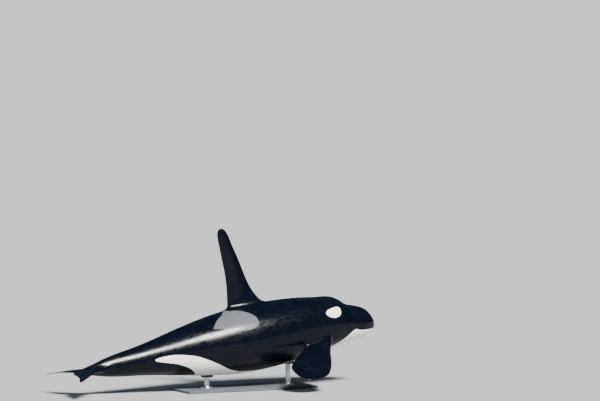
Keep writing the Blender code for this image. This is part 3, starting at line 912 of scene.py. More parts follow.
def makeSkin(material):
    mesh = weaveSkin()
    points = readVectors(mesh.vertices, "co")
    place, cosTurn, sinTurn, onBody, underFluke = (readAttribute(mesh, name) for name in carried)
    turn, onBody = np.arctan2(sinTurn, cosTurn), onBody > wholly
    points[onBody] = skinPoint(place[onBody], turn[onBody])
    lift = np.zeros(len(points))
    place[~onBody], turn[~onBody], lift[~onBody] = straighten(points[~onBody])
    lift = np.maximum(lift * arcScale(place), 0)
    markSkin(mesh, place, turn, lift, underFluke)
    mesh.vertices.foreach_set("co", points.ravel())
    mesh.update()
    held = np.maximum(place, body["firstRow"])
    out = np.where(onBody, skinRelief(held, points[:, 1], heightAt(held, turn)), 0)
    for side in (1, -1):
        local = mirrored(points, side) - eyeSkin
        closeBy = onBody & (np.abs(local @ eyeOutward) < eye["reach"])
        out += np.where(closeBy, eyeSwelling(local @ eyeForward, local @ eyeUp), 0)
    onFin = ~onBody & (place > softening["from"])
    out += swell(points) * np.where(onBody | onFin, smoothStep(*waves["starts"], place), 0)
    points += readVectors(mesh.vertex_normals, "vector") * out[:, None]
    roots = np.where(onFin, smoothStep(*softening["lift"], lift), 0)
    points = evenOut(mesh, points, roots, softening["rounds"], softening["spread"])
    tail = smoothStep(*softening["tailSide"], np.abs(points[:, 1]))
    tail *= smoothStep(*softening["tailFrom"], place)
    points = evenOut(mesh, points, tail, softening["tailRounds"])
    mesh.vertices.foreach_set("co", points.ravel())
    for name in carried:
        mesh.attributes.remove(mesh.attributes[name])
    mesh.update()
    return linkMesh("skin", mesh, material)


def setSocket(tree, socket, value):
    # links what another node puts out, or sets a plain value; a colour comes as three numbers
    if isinstance(value, bpy.types.NodeSocket):
        tree.links.new(value, socket)
    elif socket.type == "RGBA":
        socket.default_value = (*value, 1)
    else:
        socket.default_value = value


def addNode(tree, kind, inputs, **settings):
    node = tree.nodes.new(kind)
    for name, value in settings.items():
        setattr(node, name, value)
    for name, value in inputs.items():
        setSocket(tree, node.inputs[name], value)
    return node


def newMaterial(name):
    material = bpy.data.materials.new(name)
    material.use_nodes = True
    tree = material.node_tree
    return material, tree, addNode(tree, "ShaderNodeTexCoord", {}).outputs["Object"]


def finish(material, inputs):
    shader = material.node_tree.nodes["Principled BSDF"]
    for name, value in inputs.items():
        setSocket(material.node_tree, shader.inputs[name], value)
    return material


def attribute(tree, name, output="Fac"):
    return addNode(tree, "ShaderNodeAttribute", {}, attribute_name=name).outputs[output]


def mapped(tree, vector, **inputs):
    return addNode(tree, "ShaderNodeMapping", {"Vector": vector, **inputs}).outputs["Vector"]


def noise(tree, vector, scale, detail=3.0, roughness=0.5):
    inputs = {"Vector": vector, "Scale": scale, "Detail": detail, "Roughness": roughness}
    return addNode(tree, "ShaderNodeTexNoise", inputs).outputs["Fac"]


def remap(tree, value, low, high, toLow=0.0, toHigh=1.0, smooth=False):
    kind = "SMOOTHSTEP" if smooth else "LINEAR"
    inputs = {"Value": value, "From Min": low, "From Max": high, "To Min": toLow, "To Max": toHigh}
    return addNode(tree, "ShaderNodeMapRange", inputs, interpolation_type=kind).outputs["Result"]


def clouds(tree, vector, look, *levels, smooth=False):
    # a noise as a mask: its scale, detail and roughness, and where the mask starts and is full
    *noiseLook, ends = look
    return remap(tree, noise(tree, vector, *noiseLook), *ends, *levels, smooth=smooth)


def maths(tree, operation, first, second=0.0):
    return addNode(tree, "ShaderNodeMath", {0: first, 1: second}, operation=operation).outputs["Value"]


def times(tree, first, second):
    return maths(tree, "MULTIPLY", first, second)


def plus(tree, first, second):
    return maths(tree, "ADD", first, second)


def mixColour(tree, factor, first, second):
    inputs = {0: factor, 6: first, 7: second}
    return addNode(tree, "ShaderNodeMix", inputs, data_type="RGBA").outputs[2]


def bumped(tree, height, strength, distance):
    inputs = {"Height": height, "Strength": strength, "Distance": distance}
    return addNode(tree, "ShaderNodeBump", inputs).outputs["Normal"]


def newTree(kind, name, inputs, outputs):
    # a shader or geometry tree with named inputs and outputs: name, type, first value
    tree = bpy.data.node_groups.new(name, kind)
    for way, sockets in (("INPUT", inputs), ("OUTPUT", outputs)):
        for label, socketType, *value in sockets:
            socket = tree.interface.new_socket(name=label, in_out=way, socket_type="NodeSocket" + socketType)
            if value:
                socket.default_value = value[0]
    given, result = tree.nodes.new("NodeGroupInput"), tree.nodes.new("NodeGroupOutput")
    return tree, given.outputs, result.inputs


def placeGroup(tree, group, **inputs):
    return addNode(tree, "ShaderNodeGroup", inputs, node_tree=group).outputs


wear = {
    # scale, detail, roughness, and where the mask starts and is full
    "dust": (2.5, 5.0, 0.6, (0.42, 0.72)),
    "specks": (240.0, 2.0, 0.5, (0.40, 0.65)),
    "speckLevels": (0.5, 1.0),  # of the dust between the specks, and in them
    "scratches": (9.0, 4.0, 0.7, (0.66, 0.72)),
    "stretch": {"Scale": (1.0, 22.0, 22.0), "Rotation": (0.2, 0.5, 0.7)},  # along the scratches
}


def wearGroup():
    # dust that settles in soft clouds, and hair-fine scratches
    tree, given, result = newTree(
        "ShaderNodeTree", "surfaceWear",
        (("Vector", "Vector"), ("Scale", "Float", 1.0), ("Scratches", "Float", 0.5)),
        (("Dust", "Float"), ("Scratch", "Float")),
    )

    def layer(name, vector, *levels):
        scale, *look = wear[name]
        return clouds(tree, vector, (times(tree, given["Scale"], scale), *look), *levels)

    place = given["Vector"]
    dust = times(tree, layer("dust", place), layer("specks", place, *wear["speckLevels"]))
    lines = layer("scratches", mapped(tree, place, **wear["stretch"]))
    tree.links.new(dust, result["Dust"])
    tree.links.new(times(tree, lines, given["Scratches"]), result["Scratch"])
    return tree


def grainGroup():
    # a height for fine grain over broader unevenness
    tree, given, result = newTree(
        "ShaderNodeTree", "fineGrain",
        (("Vector", "Vector"), ("Grain", "Float", 200.0), ("Unevenness", "Float", 12.0),
         ("Fineness", "Float", 0.25)),
        (("Height", "Float"),),
    )
    fine, broad = (noise(tree, given["Vector"], given[name]) for name in ("Grain", "Unevenness"))
    tree.links.new(plus(tree, times(tree, fine, given["Fineness"]), broad), result["Height"])
    return tree


rake = {
    "wander": (0.9, 2.0, 0.22),  # scale and detail of the noise that bends the lines, and how far they bend
    "line": (0.95, 1.0),  # of the wave that draws the lines: where one starts, and where it is full
    "own": (34.0, 2.0, 0.5, (0.42, 0.62)),  # no two teeth scratch alike
    "where": (1.9, 1.0, 0.5, (0.63, 0.70)),  # lets a set of scratches show
    "broken": (7.0, 2.0, 0.5, (0.47, 0.62)),
}


def rakeGroup():
    # sets of pale parallel scratches
    tree, given, result = newTree(
        "ShaderNodeTree", "rakeMarks",
        (("Vector", "Vector"), ("Spacing", "Float", 160.0), ("Turn", "Vector"), ("Amount", "Float", 1.0)),
        (("Mask", "Float"),),
    )
    turned = mapped(tree, given["Vector"], Rotation=given["Turn"])
    scale, detail, bend = rake["wander"]
    across = addNode(tree, "ShaderNodeSeparateXYZ", {0: turned}).outputs["Z"]
    bent = plus(tree, across, times(tree, noise(tree, turned, scale, detail), bend))
    wave = maths(tree, "SINE", times(tree, bent, given["Spacing"]))
    ownPlace = addNode(tree, "ShaderNodeCombineXYZ", {"Z": bent}).outputs[0]
    mask = times(tree, remap(tree, wave, *rake["line"], smooth=True), clouds(tree, ownPlace, rake["own"]))
    mask = times(tree, mask, clouds(tree, turned, rake["where"], smooth=True))
    mask = times(tree, mask, clouds(tree, given["Vector"], rake["broken"]))
    tree.links.new(times(tree, mask, given["Amount"]), result["Mask"])
    return tree


skinFinish = {
    # the skin's own black, tinted blue: the blue tint is a painted reflection of the sky
    "black": ((0.0008, 0.0015, 0.0042), (0.0021, 0.0031, 0.0063)),
    "white": ((0.86, 0.85, 0.80), (0.74, 0.73, 0.68)),
    "saddle": ((0.114, 0.114, 0.134), (0.079, 0.080, 0.095)),
    "scratch": (0.060, 0.062, 0.068),
    # noises: scale, detail, roughness, and where they start and are full
    "mottle": (3.4, 5.0, 0.6, (0.35, 0.70)),
    "stain": (5.0, 6.0, 0.65, (0.38, 0.75)),
    "streaks": (2.2, 5.0, 0.65, (0.30, 0.70)),
    "wetness": (1.4, 4.0, 0.6, (0.30, 0.70)),
    "saddleFade": (0.25, 0.50, 0.72, 1.0),  # over the streaks
    "streakStretch": (5.0, 16.0, 16.0),
    "edge": (26.0, 4.0, 0.6, 0.010),  # scale, detail, roughness, and how far a marking's edge strays
    "whiteEdge": (0.0035, 0.6),  # softness in metres, share of the straying
    "saddleEdge": (0.016, 1.6),
    # spacing, turn, amount
    "rakes": (
        (190.0, (0.5, 0.4, 0.2), 0.32), (230.0, (-0.7, 0.2, 1.3), 0.24), (170.0, (0.2, -0.5, 2.2), 0.20),
    ),
    "rakeDepth": 0.10,
    "grain": {"Grain": 420.0, "Unevenness": 11.0, "Fineness": 0.02},
    "bump": (0.40, 0.0020),  # strength, height in metres
    "roughness": (0.14, 0.32),
    "gloss": {"IOR": 1.33, "Specular IOR Level": 0.30, "Coat Weight": 0.06, "Coat Roughness": 0.08},
}


def skinMaterial(rakes, grain):
    material, tree, place = newMaterial("orcaSkin")
    streaky = mapped(tree, place, Scale=skinFinish["streakStretch"])
    *look, stray = skinFinish["edge"]
    wander = remap(tree, noise(tree, place, *look), 0.0, 1.0, -stray, stray)

    def mark(name, edge):
        softness, share = skinFinish[edge]
        moved = plus(tree, attribute(tree, name), times(tree, wander, share))
        return remap(tree, moved, -softness, softness, smooth=True)

    scratched = 0.0
    for spacing, turn, amount in skinFinish["rakes"]:
        mask = placeGroup(tree, rakes, Vector=place, Spacing=spacing, Turn=turn, Amount=amount)["Mask"]
        scratched = maths(tree, "MAXIMUM", mask, scratched)
    # the black skin, with a blue tint painted in as a reflection of the sky
    black = mixColour(tree, clouds(tree, place, skinFinish["mottle"]), *skinFinish["black"])
    black = mixColour(tree, scratched, black, skinFinish["scratch"])
    pale = mixColour(tree, clouds(tree, place, skinFinish["stain"]), *skinFinish["white"])
    *look, ends = skinFinish["streaks"]
    streaks = noise(tree, streaky, *look)
    grey = mixColour(tree, remap(tree, streaks, *ends), *skinFinish["saddle"])
    saddle = times(tree, mark("saddleMark", "saddleEdge"), remap(tree, streaks, *skinFinish["saddleFade"]))
    colour = mixColour(tree, mark("whiteMark", "whiteEdge"), mixColour(tree, saddle, black, grey), pale)
    height = placeGroup(tree, grain, Vector=place, **skinFinish["grain"])["Height"]
    height = maths(tree, "SUBTRACT", height, times(tree, scratched, skinFinish["rakeDepth"]))
    return finish(material, {
        "Base Color": colour,
        "Roughness": clouds(tree, streaky, skinFinish["wetness"], *skinFinish["roughness"]),
        "Normal": bumped(tree, height, *skinFinish["bump"]),
        **skinFinish["gloss"],
    })


eyeFinish = {
    "pupil": (0.002, 0.002, 0.003),
    "iris": ((0.030, 0.014, 0.007), (0.010, 0.006, 0.004)),
    "rim": (0.010, 0.009, 0.012),
    # radians from the middle where the pupil and the iris start to end, and where they have ended
    "pupilEdge": (0.30, 0.35),
    "irisEdge": (0.68, 0.80),
    "pupilShape": (0.72, 1.25),  # wider than high
    "spokes": (2.2, 0.5),  # fineness round the pupil and along the spokes
    "fibres": (9.0, 4.0, 0.7, (0.35, 0.65)),  # scale, detail, roughness, where they start and are full
    "veins": (260.0, 2.0, 0.5, (0.3, 0.7)),
    "roughness": (0.05, 0.12),
    "gloss": {"Coat Weight": 1.0, "Coat Roughness": 0.03},
}


def eyeMaterial():
    material, tree, place = newMaterial("orcaEye")
    fibres = clouds(tree, attribute(tree, "spoke", "Vector"), eyeFinish["fibres"])
    fromPupil = attribute(tree, "fromPupil")
    edges = eyeFinish["pupilEdge"], eyeFinish["irisEdge"]
    pupil, iris = (remap(tree, fromPupil, *ends, smooth=True) for ends in edges)
    colour = mixColour(tree, pupil, eyeFinish["pupil"], mixColour(tree, fibres, *eyeFinish["iris"]))
    return finish(material, {
        "Base Color": mixColour(tree, iris, colour, eyeFinish["rim"]),
        "Roughness": clouds(tree, place, eyeFinish["veins"], *eyeFinish["roughness"]),
        **eyeFinish["gloss"],
    })


def makeEyeball(name, side, material):
    mesh = bpy.data.meshes.new(name)
    segments, rings = eye["ballFaces"]
    turnOut(mesh, lambda shape: bmesh.ops.create_uvsphere(
        shape, u_segments=segments, v_segments=rings, radius=1.0
    ))
    directions = readVectors(mesh.vertices, "co")
    across, up, out = directions.T
    angle = np.arccos(np.clip(out, -1, 1))
    rise, start = eye["cornea"]
    local = directions * (eye["radius"] + rise * smoothStep(start, 0.0, angle))[:, None]
    mesh.vertices.foreach_set("co", mirrored(fromEye(eyeCentre, *local.T), side).ravel())
    turnOut(mesh)
    wide, high = eyeFinish["pupilShape"]
    fromPupil = np.arcsin(np.clip(np.hypot(across * wide, up * high), 0, 1))
    putAttribute(mesh, "fromPupil", np.where(out > 0, fromPupil, math.pi / 2))
    around, (fine, long) = np.arctan2(up, across), eyeFinish["spokes"]
    spokes = np.stack([np.cos(around) * fine, np.sin(around) * fine, angle * long], 1)
    spoke = mesh.attributes.new("spoke", "FLOAT_VECTOR", "POINT")
    spoke.data.foreach_set("vector", spokes.astype(np.float32).ravel())
    return linkMesh(name, mesh, material)


stand = {
    # inset and height of each ring of the base, from the middle of its underside to its top
    "base": ((0.016, 0.0), (0.016, 0.007), (0.002, 0.0072), (0.0, 0.010), (0.0, 0.0315), (0.0012, 0.0335),
             (0.0045, 0.034), (0.0045, 0.0375), (0.0012, 0.038), (0.0, 0.040), (0.0, 0.0450),
             (0.0008, 0.0474), (0.0025, 0.0491), (0.0050, 0.0500)),
    "baseCorner": (0.030, 9),  # radius, points
    "sides": 96,  # of the turned pieces
    "weld": 0.00002,  # points closer than this are made one
    # radius and height over the foot, then radius and depth under the top, and how far its corners round off
    "flange": (
        ((0.0, 0.0), (0.148, 0.0), (0.150, 0.003), (0.150, 0.015), (0.146, 0.019), (0.100, 0.020),
         (0.084, 0.0245), (0.076, 0.036), (0.072, 0.046)),
        ((0.069, 0.0), (0.0, 0.0)),
        0.004,
    ),
    "rod": (
        ((0.0, 0.0), (0.053, 0.0), (0.055, 0.003)),
        ((0.055, 0.052), (0.0532, 0.050), (0.0532, 0.046), (0.055, 0.044), (0.055, 0.003),
         (0.053, 0.0), (0.0, 0.0)),
        0.0015,
    ),
    "plate": (((0.0, 0.0), (0.108, 0.0), (0.112, 0.004)), ((0.112, 0.0), (0.0, 0.0)), 0.0015),
    "plateHeight": 0.008,
    "cornerPoints": 4,
    "cornerShare": 0.45,  # of the shorter line at a corner that its rounding may take
    "sharp": {"base": 30, "turned": 34},  # degrees from which an edge stays sharp
    "screws": {"Count": 8, "Circle": 0.120},
    "screwLift": 0.0225,  # of a screw's middle over the flange's underside
    "screwSeeds": {"front": 5, "rear": 4},
    "screwHead": {
        "radius": 0.0105, "height": 0.0075, "bevel": 0.0012, "socket": 0.0056, "socketDepth": 0.0045,
    },
    "screwSides": 30,
}
pad = {
    "sides": 72,
    "radius": 0.130,
    "underside": (0.04, 0.08, 0.110, 0.118),  # radii of its rings
    "rim": ((0.126, 0.0035), (0.130, 0.011)),  # radius, height over the underside
    "wall": (0.25, 0.5, 0.75, 0.92),  # shares of the height from the rim to the skin
    "wallBulge": (0.002, 0.0015),  # how far the wall swells out from how far inside the rim
    "wallGap": 0.0015,
    "top": (0.126, 0.118, 0.095, 0.070, 0.045, 0.020),
    "skinGap": 0.0012,
    "sharp": 50,
}


def overRings(rings, closeFirst=True):
    # points and faces over a stack of rings with as many points each, counted anticlockwise
    points, count = np.concatenate(rings), len(rings[0])
    here, after = np.arange(count), np.roll(np.arange(count), -1)
    faces = [(here + len(points) - count).tolist()]
    if closeFirst:
        faces.append(here[::-1].tolist())
    for low in range(0, len(points) - count, count):
        faces += np.stack([low + here, low + after, low + count + after, low + count + here], 1).tolist()
    return points.tolist(), faces


def circle(radius, height, turn, centre=(0.0, 0.0)):
    x, y = centre[0] + radius * np.cos(turn), centre[1] + radius * np.sin(turn)
    return np.stack([x, y, np.broadcast_to(height, turn.shape)], 1)


def closedPiece(name, rings, material, sharp):
    points, faces = overRings(rings)
    mesh = bpy.data.meshes.new(name)
    mesh.from_pydata(points, [], faces)
    turnOut(mesh)
    return linkMesh(name, mesh, material, sharp)


def makeBase(material):
    low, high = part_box("stand_base")
    radius, points = stand["baseCorner"]
    corners = (high.x, high.y, 1, 1), (low.x, high.y, -1, 1), (low.x, low.y, -1, -1), (high.x, low.y, 1, -1)
    rings = []
    for inset, height in stand["base"]:
        ring = []
        for quarter, (x, y, signX, signY) in enumerate(corners):
            turn = np.radians(np.linspace(0, 90, points)) + quarter * math.pi / 2
            ring.append(circle(radius - inset, height, turn, (x - signX * radius, y - signY * radius)))
        rings.append(np.concatenate(ring))
    return closedPiece("plinth", rings, material, stand["sharp"]["base"])


def newGeometry(name, *inputs):
    inputs = ("Geometry", "Geometry"), *inputs, ("Material", "Material")
    return newTree("GeometryNodeTree", name, inputs, (("Geometry", "Geometry"),))


def endGeometry(tree, geometry, given, result):
    real = addNode(tree, "GeometryNodeRealizeInstances", {0: geometry}).outputs[0]
    painted = addNode(tree, "GeometryNodeSetMaterial", {"Geometry": real, "Material": given["Material"]})
    tree.links.new(painted.outputs[0], result[0])
    return tree


def turningTree():
    # turns a profile, a chain of points with X as the radius and Z as the height, about an upright axis
    tree, given, result = newGeometry(
        "turnedPiece", ("Points", "Int"), ("Sides", "Int"), ("Centre", "Vector")
    )
    columns = plus(tree, given["Sides"], 1.0)
    grid = addNode(tree, "GeometryNodeMeshGrid", {"Vertices X": columns, "Vertices Y": given["Points"]})
    number = addNode(tree, "GeometryNodeInputIndex", {}).outputs[0]
    row = maths(tree, "MODULO", number, given["Points"])
    column = maths(tree, "FLOOR", maths(tree, "DIVIDE", plus(tree, number, 0.5), given["Points"]))
    position = addNode(tree, "GeometryNodeInputPosition", {}).outputs[0]
    inputs = {"Geometry": given["Geometry"], "Value": position, "Index": row}
    sample = addNode(tree, "GeometryNodeSampleIndex", inputs, data_type="FLOAT_VECTOR")
    profile = addNode(tree, "ShaderNodeSeparateXYZ", {0: sample.outputs[0]}).outputs
    angle = times(tree, maths(tree, "DIVIDE", column, given["Sides"]), 2 * math.pi)
    x, y = (times(tree, profile["X"], maths(tree, way, angle)) for way in ("COSINE", "SINE"))
    at = addNode(tree, "ShaderNodeCombineXYZ", {"X": x, "Y": y, "Z": profile["Z"]}).outputs[0]
    at = addNode(tree, "ShaderNodeVectorMath", {0: at, 1: given["Centre"]}, operation="ADD").outputs[0]
    turned = addNode(tree, "GeometryNodeSetPosition", {"Geometry": grid.outputs["Mesh"], "Position": at})
    ends = {"Geometry": turned.outputs[0], "Distance": stand["weld"]}
    closed = addNode(tree, "GeometryNodeMergeByDistance", ends)
    return endGeometry(tree, closed.outputs[0], given, result)


def screwHead():
    # points and faces of one socket screw: under its head, over the bevel, and down into the six-sided socket
    size, turn = stand["screwHead"], turns(stand["screwSides"])
    flat = math.pi / 3
    sixSided = size["socket"] * math.cos(flat / 2) / np.cos(turn % flat - flat / 2)
    top, outer, edge = size["height"] / 2, size["radius"], size["bevel"]
    rings = (
        (outer, -top), (outer, top - edge), (outer - edge, top), (sixSided + edge / 4, top),
        (sixSided, top - edge / 4), (sixSided, top - size["socketDepth"]),
    )
    return overRings([circle(radius, height, turn) for radius, height in rings])


def screwTree():
    # the screw that comes in, in a ring, each turned a little differently
    tree, given, result = newGeometry(
        "screwRing", ("Count", "Int"), ("Circle", "Float"), ("Centre", "Vector"), ("Seed", "Int")
    )
    ring = addNode(tree, "GeometryNodeMeshCircle", {"Vertices": given["Count"], "Radius": given["Circle"]})
    spots = {"Geometry": ring.outputs[0], "Translation": given["Centre"]}
    spin = {"Max": (0, 0, math.pi), "Seed": given["Seed"]}
    screws = addNode(tree, "GeometryNodeInstanceOnPoints", {
        "Points": addNode(tree, "GeometryNodeTransform", spots).outputs[0],
        "Instance": given["Geometry"],
        "Rotation": addNode(tree, "FunctionNodeRandomValue", spin, data_type="FLOAT_VECTOR").outputs[0],
    })
    return endGeometry(tree, screws.outputs[0], given, result)


def runTree(name, tree, material, points, faces=(), **values):
    # runs a tree on the points and faces, and returns the plain mesh object
    mesh = bpy.data.meshes.new(name)
    mesh.from_pydata(points, [], faces)
    holder = bpy.data.objects.new(name, mesh)
    bpy.context.scene.collection.objects.link(holder)
    modifier = holder.modifiers.new(name, "NODES")
    modifier.node_group = tree
    sockets = {item.name: item.identifier for item in tree.interface.items_tree if item.in_out == "INPUT"}
    for label, value in {**values, "Material": material}.items():
        modifier[sockets[label]] = value
    graph = bpy.context.evaluated_depsgraph_get()
    made = bpy.data.meshes.new_from_object(holder.evaluated_get(graph))
    bpy.data.objects.remove(holder)
    bpy.data.meshes.remove(mesh)
    turnOut(made)
    made.materials.clear()
    return linkMesh(name, made, material, stand["sharp"]["turned"])


def roundedChain(corners, radius):
    # the chain of points with its inner corners rounded off
    chain = [corners[0]]
    for before, corner, after in zip(corners[:-2], corners[1:-1], corners[2:]):
        before, corner, after = (np.array(p, float) for p in (before, corner, after))
        back, on = before - corner, after - corner
        cut = min(radius, *(np.linalg.norm(line) * stand["cornerShare"] for line in (back, on)))
        start, end = corner + unit(back) * cut, corner + unit(on) * cut
        for t in np.linspace(0, 1, stand["cornerPoints"]):
            chain.append(tuple((1 - t) ** 2 * start + 2 * (1 - t) * t * corner + t * t * end))
    return chain + [corners[-1]]


def turnPiece(kind, end, tree, centre, low, high, material):
    foot, head, rounding = stand[kind]
    corners = [(radius, low + height) for radius, height in foot]
    corners += [(radius, high - depth) for radius, depth in head]
    points = [(radius, 0.0, height) for radius, height in roundedChain(corners, rounding)]
    sizes = {"Points": len(points), "Sides": stand["sides"], "Centre": centre}
    return runTree(f"{kind}_{end}", tree, material, points, **sizes)


def makeRod(end, turning, screws, belly, steel, rubber):
    low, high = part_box(f"stand_flange_{end}")
    x, y = (low.x + high.x) / 2, (low.y + high.y) / 2
    centre = (x, y, 0.0)
    flange = turnPiece("flange", end, turning, centre, low.z, high.z, steel)
    ring = {**stand["screws"], "Centre": (x, y, low.z + stand["screwLift"]), "Seed": stand["screwSeeds"][end]}
    bolts = runTree(f"screws_{end}", screws, steel, *screwHead(), **ring)
    low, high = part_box(f"stand_rod_{end}")
    rod = turnPiece("rod", end, turning, centre, low.z, high.z, steel)
    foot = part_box(f"stand_pad_{end}")[0].z
    plate = turnPiece("plate", end, turning, centre, foot, foot + stand["plateHeight"], steel)
    cup = makePad(f"pad_{end}", centre, foot + stand["plateHeight"], belly, rubber)
    for piece, node in ((flange, "flange"), (rod, "rod"), (cup, "pad")):
        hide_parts(f"stand_{node}_{end}")
    for piece in (flange, bolts, rod, plate, cup):
        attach(piece, "root")


def makePad(name, centre, underside, belly, material):
    # a rubber cup: a flat underside, a round rim, and a top that is shaped to the belly
    turn, up = turns(pad["sides"]), Vector((0, 0, 1))

    def skinOver(radius):
        starts = circle(radius, underside - pad["radius"] / 2, turn, centre)
        return np.array([belly.ray_cast(Vector(start), up)[0].z for start in starts])

    rings = [(radius, underside) for radius in pad["underside"]]
    rings += [(radius, underside + height) for radius, height in pad["rim"]]
    rimRadius, rimHeight = rings[-1]
    swollen, inside = pad["wallBulge"]
    for share in pad["wall"]:
        radius = rimRadius + swollen * math.sin(math.pi * share) - inside
        rings.append((radius, rimHeight + (skinOver(radius) - pad["wallGap"] - rimHeight) * share))
    rings += [(radius, skinOver(radius) - pad["skinGap"]) for radius in pad["top"]]
    rings = [circle(radius, height, turn, centre) for radius, height in rings]
    return closedPiece(name, rings, material, pad["sharp"])


standFinish = {
    "satinPaint": {
        "colours": ((0.085, 0.092, 0.104), (0.105, 0.112, 0.124)),
        "mottle": (2.2, 4.0),  # scale, detail
        "wear": {"Scale": 1.0, "Scratches": 0.6},
        "Dust": ((0.26, 0.25, 0.24), 0.16, 0.20),  # colour, share, and how much rougher it is
        "Scratch": ((0.30, 0.31, 0.32), 0.35, 0.10),
        "roughness": 0.42,
        "grain": {"Grain": 900.0, "Unevenness": 60.0},
        "bump": (0.12, 0.002),  # strength, height in metres
        "gloss": {"Specular IOR Level": 0.15},
    },
    "brushedSteel": {
        "colours": ((0.52, 0.53, 0.55), (0.62, 0.63, 0.64)),
        "brush": ((6.0, 6.0, 900.0), 1.0, 3.0, 0.6),  # fine lines at one height, round the turned pieces
        "lines": (0.35, 0.65),
        "wear": {"Scale": 3.0},
        "Dust": ((0.30, 0.30, 0.30), 0.18, 0.12),
        "roughness": (0.30, 0.70, 0.24, 0.36),  # over the lines
        "bump": (0.18, 0.0006),
        "gloss": {"Metallic": 1.0},
    },
    "blackRubber": {
        "colours": ((0.018, 0.018, 0.019), (0.032, 0.031, 0.030)),
        "mottle": (30.0, 3.0),
        "wear": {"Scale": 4.0},
        "Dust": ((0.12, 0.12, 0.11), 0.20, 0.18),
        "roughness": 0.62,
        "grain": {"Grain": 1600.0, "Unevenness": 90.0},
        "bump": (0.25, 0.002),
        "gloss": {},
    },
}


def standMaterial(name, wearing, grain):
    material, tree, place = newMaterial(name)
    look = standFinish[name]
    worn = placeGroup(tree, wearing, Vector=place, **look["wear"])
    if "brush" in look:
        stretch, *brush = look["brush"]
        height = noise(tree, mapped(tree, place, Scale=stretch), *brush)
        share, rough = remap(tree, height, *look["lines"]), remap(tree, height, *look["roughness"])
    else:
        height = placeGroup(tree, grain, Vector=place, **look["grain"])["Height"]
        share, rough = noise(tree, place, *look["mottle"]), look["roughness"]
    colour = mixColour(tree, share, *look["colours"])
    for mask in ("Dust", "Scratch"):
        if mask in look:
            tone, amount, rougher = look[mask]
            colour = mixColour(tree, times(tree, worn[mask], amount), colour, tone)
            rough = plus(tree, rough, times(tree, worn[mask], rougher))
    relief = bumped(tree, height, *look["bump"])
    return finish(material, {"Base Color": colour, "Roughness": rough, "Normal": relief, **look["gloss"]})


room = {
    "floor": (0.37, 0.374, 0.38),
    "clouds": (0.6, 3.0, 0.97),  # scale and detail of the floor's tone, and its darker share
    "gloss": {"Roughness": 0.9, "Specular IOR Level": 0.0},
    "rings": (2000, 600, 200, 60, 20, 6),  # radii of the floor's faces
    "sides": 72,
    "air": ((0.45, 0.68, 1.00), 0.11),  # what lights the model and shows in its gloss
    "backdrop": ((0.955, 0.960, 0.960), 1.0),  # what the camera sees past the floor
}
camera = {
    "imageWidth": 600,
    "imageHeight": 401,
    "focalPixels": 2137.5,
    "sensorWidth": 36.0,
    "levelRow": 183.0,  # of the photograph, level with the camera
    "rearRootPixel": (227.0, 310.0),  # where the photograph has the dorsal fin's rear root
    "azimuth": math.radians(-27),
    "distance": 45.0,
}


def makeRoom():
    # a round, level floor that runs out of sight, to where the backdrop has its tone
    rings = [circle(radius, 0.0, turns(room["sides"])) for radius in room["rings"]]
    points, faces = overRings(rings, closeFirst=False)
    mesh = bpy.data.meshes.new("studioFloor")
    mesh.from_pydata(points, [], faces)
    material, tree, place = newMaterial("paleFloor")
    scale, detail, darker = room["clouds"]
    other = tuple(darker * value for value in room["floor"])
    colour = mixColour(tree, noise(tree, place, scale, detail), room["floor"], other)
    finish(material, {"Base Color": colour, **room["gloss"]})
    linkMesh("studioFloor", mesh, material)


lights = {
    # across to the right, away from the camera, up; power; width of the disc in degrees; colour
    "keyLight": ((0.33, -0.66, 0.68), 12.0, 16, (1.0, 0.985, 0.95)),
    "fillLight": ((-0.85, -0.45, 0.30), 0.8, 40, (0.85, 0.93, 1.0)),
}


def lightRoom():
    right, away = cameraSides()
    for name, (way, power, width, colour) in lights.items():
        light = bpy.data.lights.new(name, "SUN")
        light.energy, light.angle, light.color = power, math.radians(width), colour
        made = bpy.data.objects.new(name, light)
        towards = right * way[0] + away * way[1] + Vector((0, 0, way[2]))
        made.rotation_euler = (-towards).to_track_quat("-Z", "Y").to_euler()
        made.location = towards * camera["distance"]
        bpy.context.scene.collection.objects.link(made)
    world = bpy.data.worlds.new("room")
    world.use_nodes = True
    tree = world.node_tree
    tree.nodes.remove(tree.nodes["Background"])
    shaders = [addNode(tree, "ShaderNodeLightPath", {}).outputs["Is Camera Ray"]]
    for colour, strength in (room["air"], room["backdrop"]):
        inputs = {"Color": colour, "Strength": strength}
        shaders.append(addNode(tree, "ShaderNodeBackground", inputs).outputs[0])
    both = addNode(tree, "ShaderNodeMixShader", dict(enumerate(shaders)))
    tree.links.new(both.outputs[0], tree.nodes["World Output"].inputs["Surface"])
    bpy.context.scene.world = world


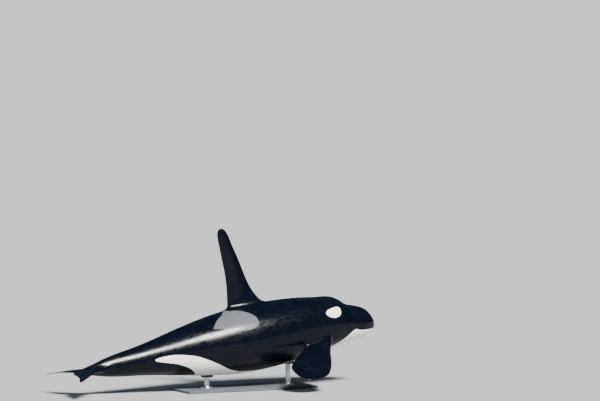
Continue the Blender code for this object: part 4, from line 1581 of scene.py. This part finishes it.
def cameraSides():
    azimuth = camera["azimuth"]
    right = Vector((math.cos(azimuth), math.sin(azimuth), 0))
    return right, Vector((-math.sin(azimuth), math.cos(azimuth), 0))


def placeCamera():
    focal, distance = camera["focalPixels"], camera["distance"]
    middleX, middleY = camera["imageWidth"] / 2, camera["imageHeight"] / 2
    pitch = math.atan((middleY - camera["levelRow"]) / focal)
    right, away = cameraSides()
    look = away * math.cos(pitch) - Vector((0, 0, math.sin(pitch)))
    up = away * math.sin(pitch) + Vector((0, 0, math.cos(pitch)))
    x, y = camera["rearRootPixel"]
    lens = bpy.data.cameras.new("camera")
    lens.sensor_width = camera["sensorWidth"]
    lens.lens = focal / camera["imageWidth"] * lens.sensor_width
    lens.clip_end = 3 * room["rings"][0]
    made = bpy.data.objects.new("camera", lens)
    made.location = Vector(skinPoint(dorsalFin["rearRoot"], 0.0)) - look * distance
    made.location += (up * (y - middleY) - right * (x - middleX)) / focal * distance
    made.rotation_euler = look.to_track_quat("-Z", "Y").to_euler()
    bpy.context.scene.collection.objects.link(made)
    bpy.context.scene.camera = made


wearing, grain = wearGroup(), grainGroup()
placeCamera()
makeRoom()
lightRoom()
print("camera, floor and lights placed")

skin = makeSkin(skinMaterial(rakeGroup(), grain))
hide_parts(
    "head", "lower_jaw", "torso", "tail_stock", "dorsal_fin",
    "flipper_left", "flipper_right", "fluke_left", "fluke_right",
)
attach(skin, "root")
print("skin made:", sum(len(face.vertices) - 2 for face in skin.data.polygons), "triangles")

eyePaint = eyeMaterial()
for end, side in (("left", 1), ("right", -1)):
    eyeball = makeEyeball(f"eyeball_{end}", side, eyePaint)
    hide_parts(f"eye_{end}")
    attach(eyeball, "root")
print("eyes made")

plinth = makeBase(standMaterial("satinPaint", wearing, grain))
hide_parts("stand_base")
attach(plinth, "root")
belly = BVHTree.FromObject(skin, bpy.context.evaluated_depsgraph_get())
turning, screws = turningTree(), screwTree()
steel, rubber = (standMaterial(name, wearing, grain) for name in ("brushedSteel", "blackRubber"))
for end in ("front", "rear"):
    makeRod(end, turning, screws, belly, steel, rubber)
print("stand made")
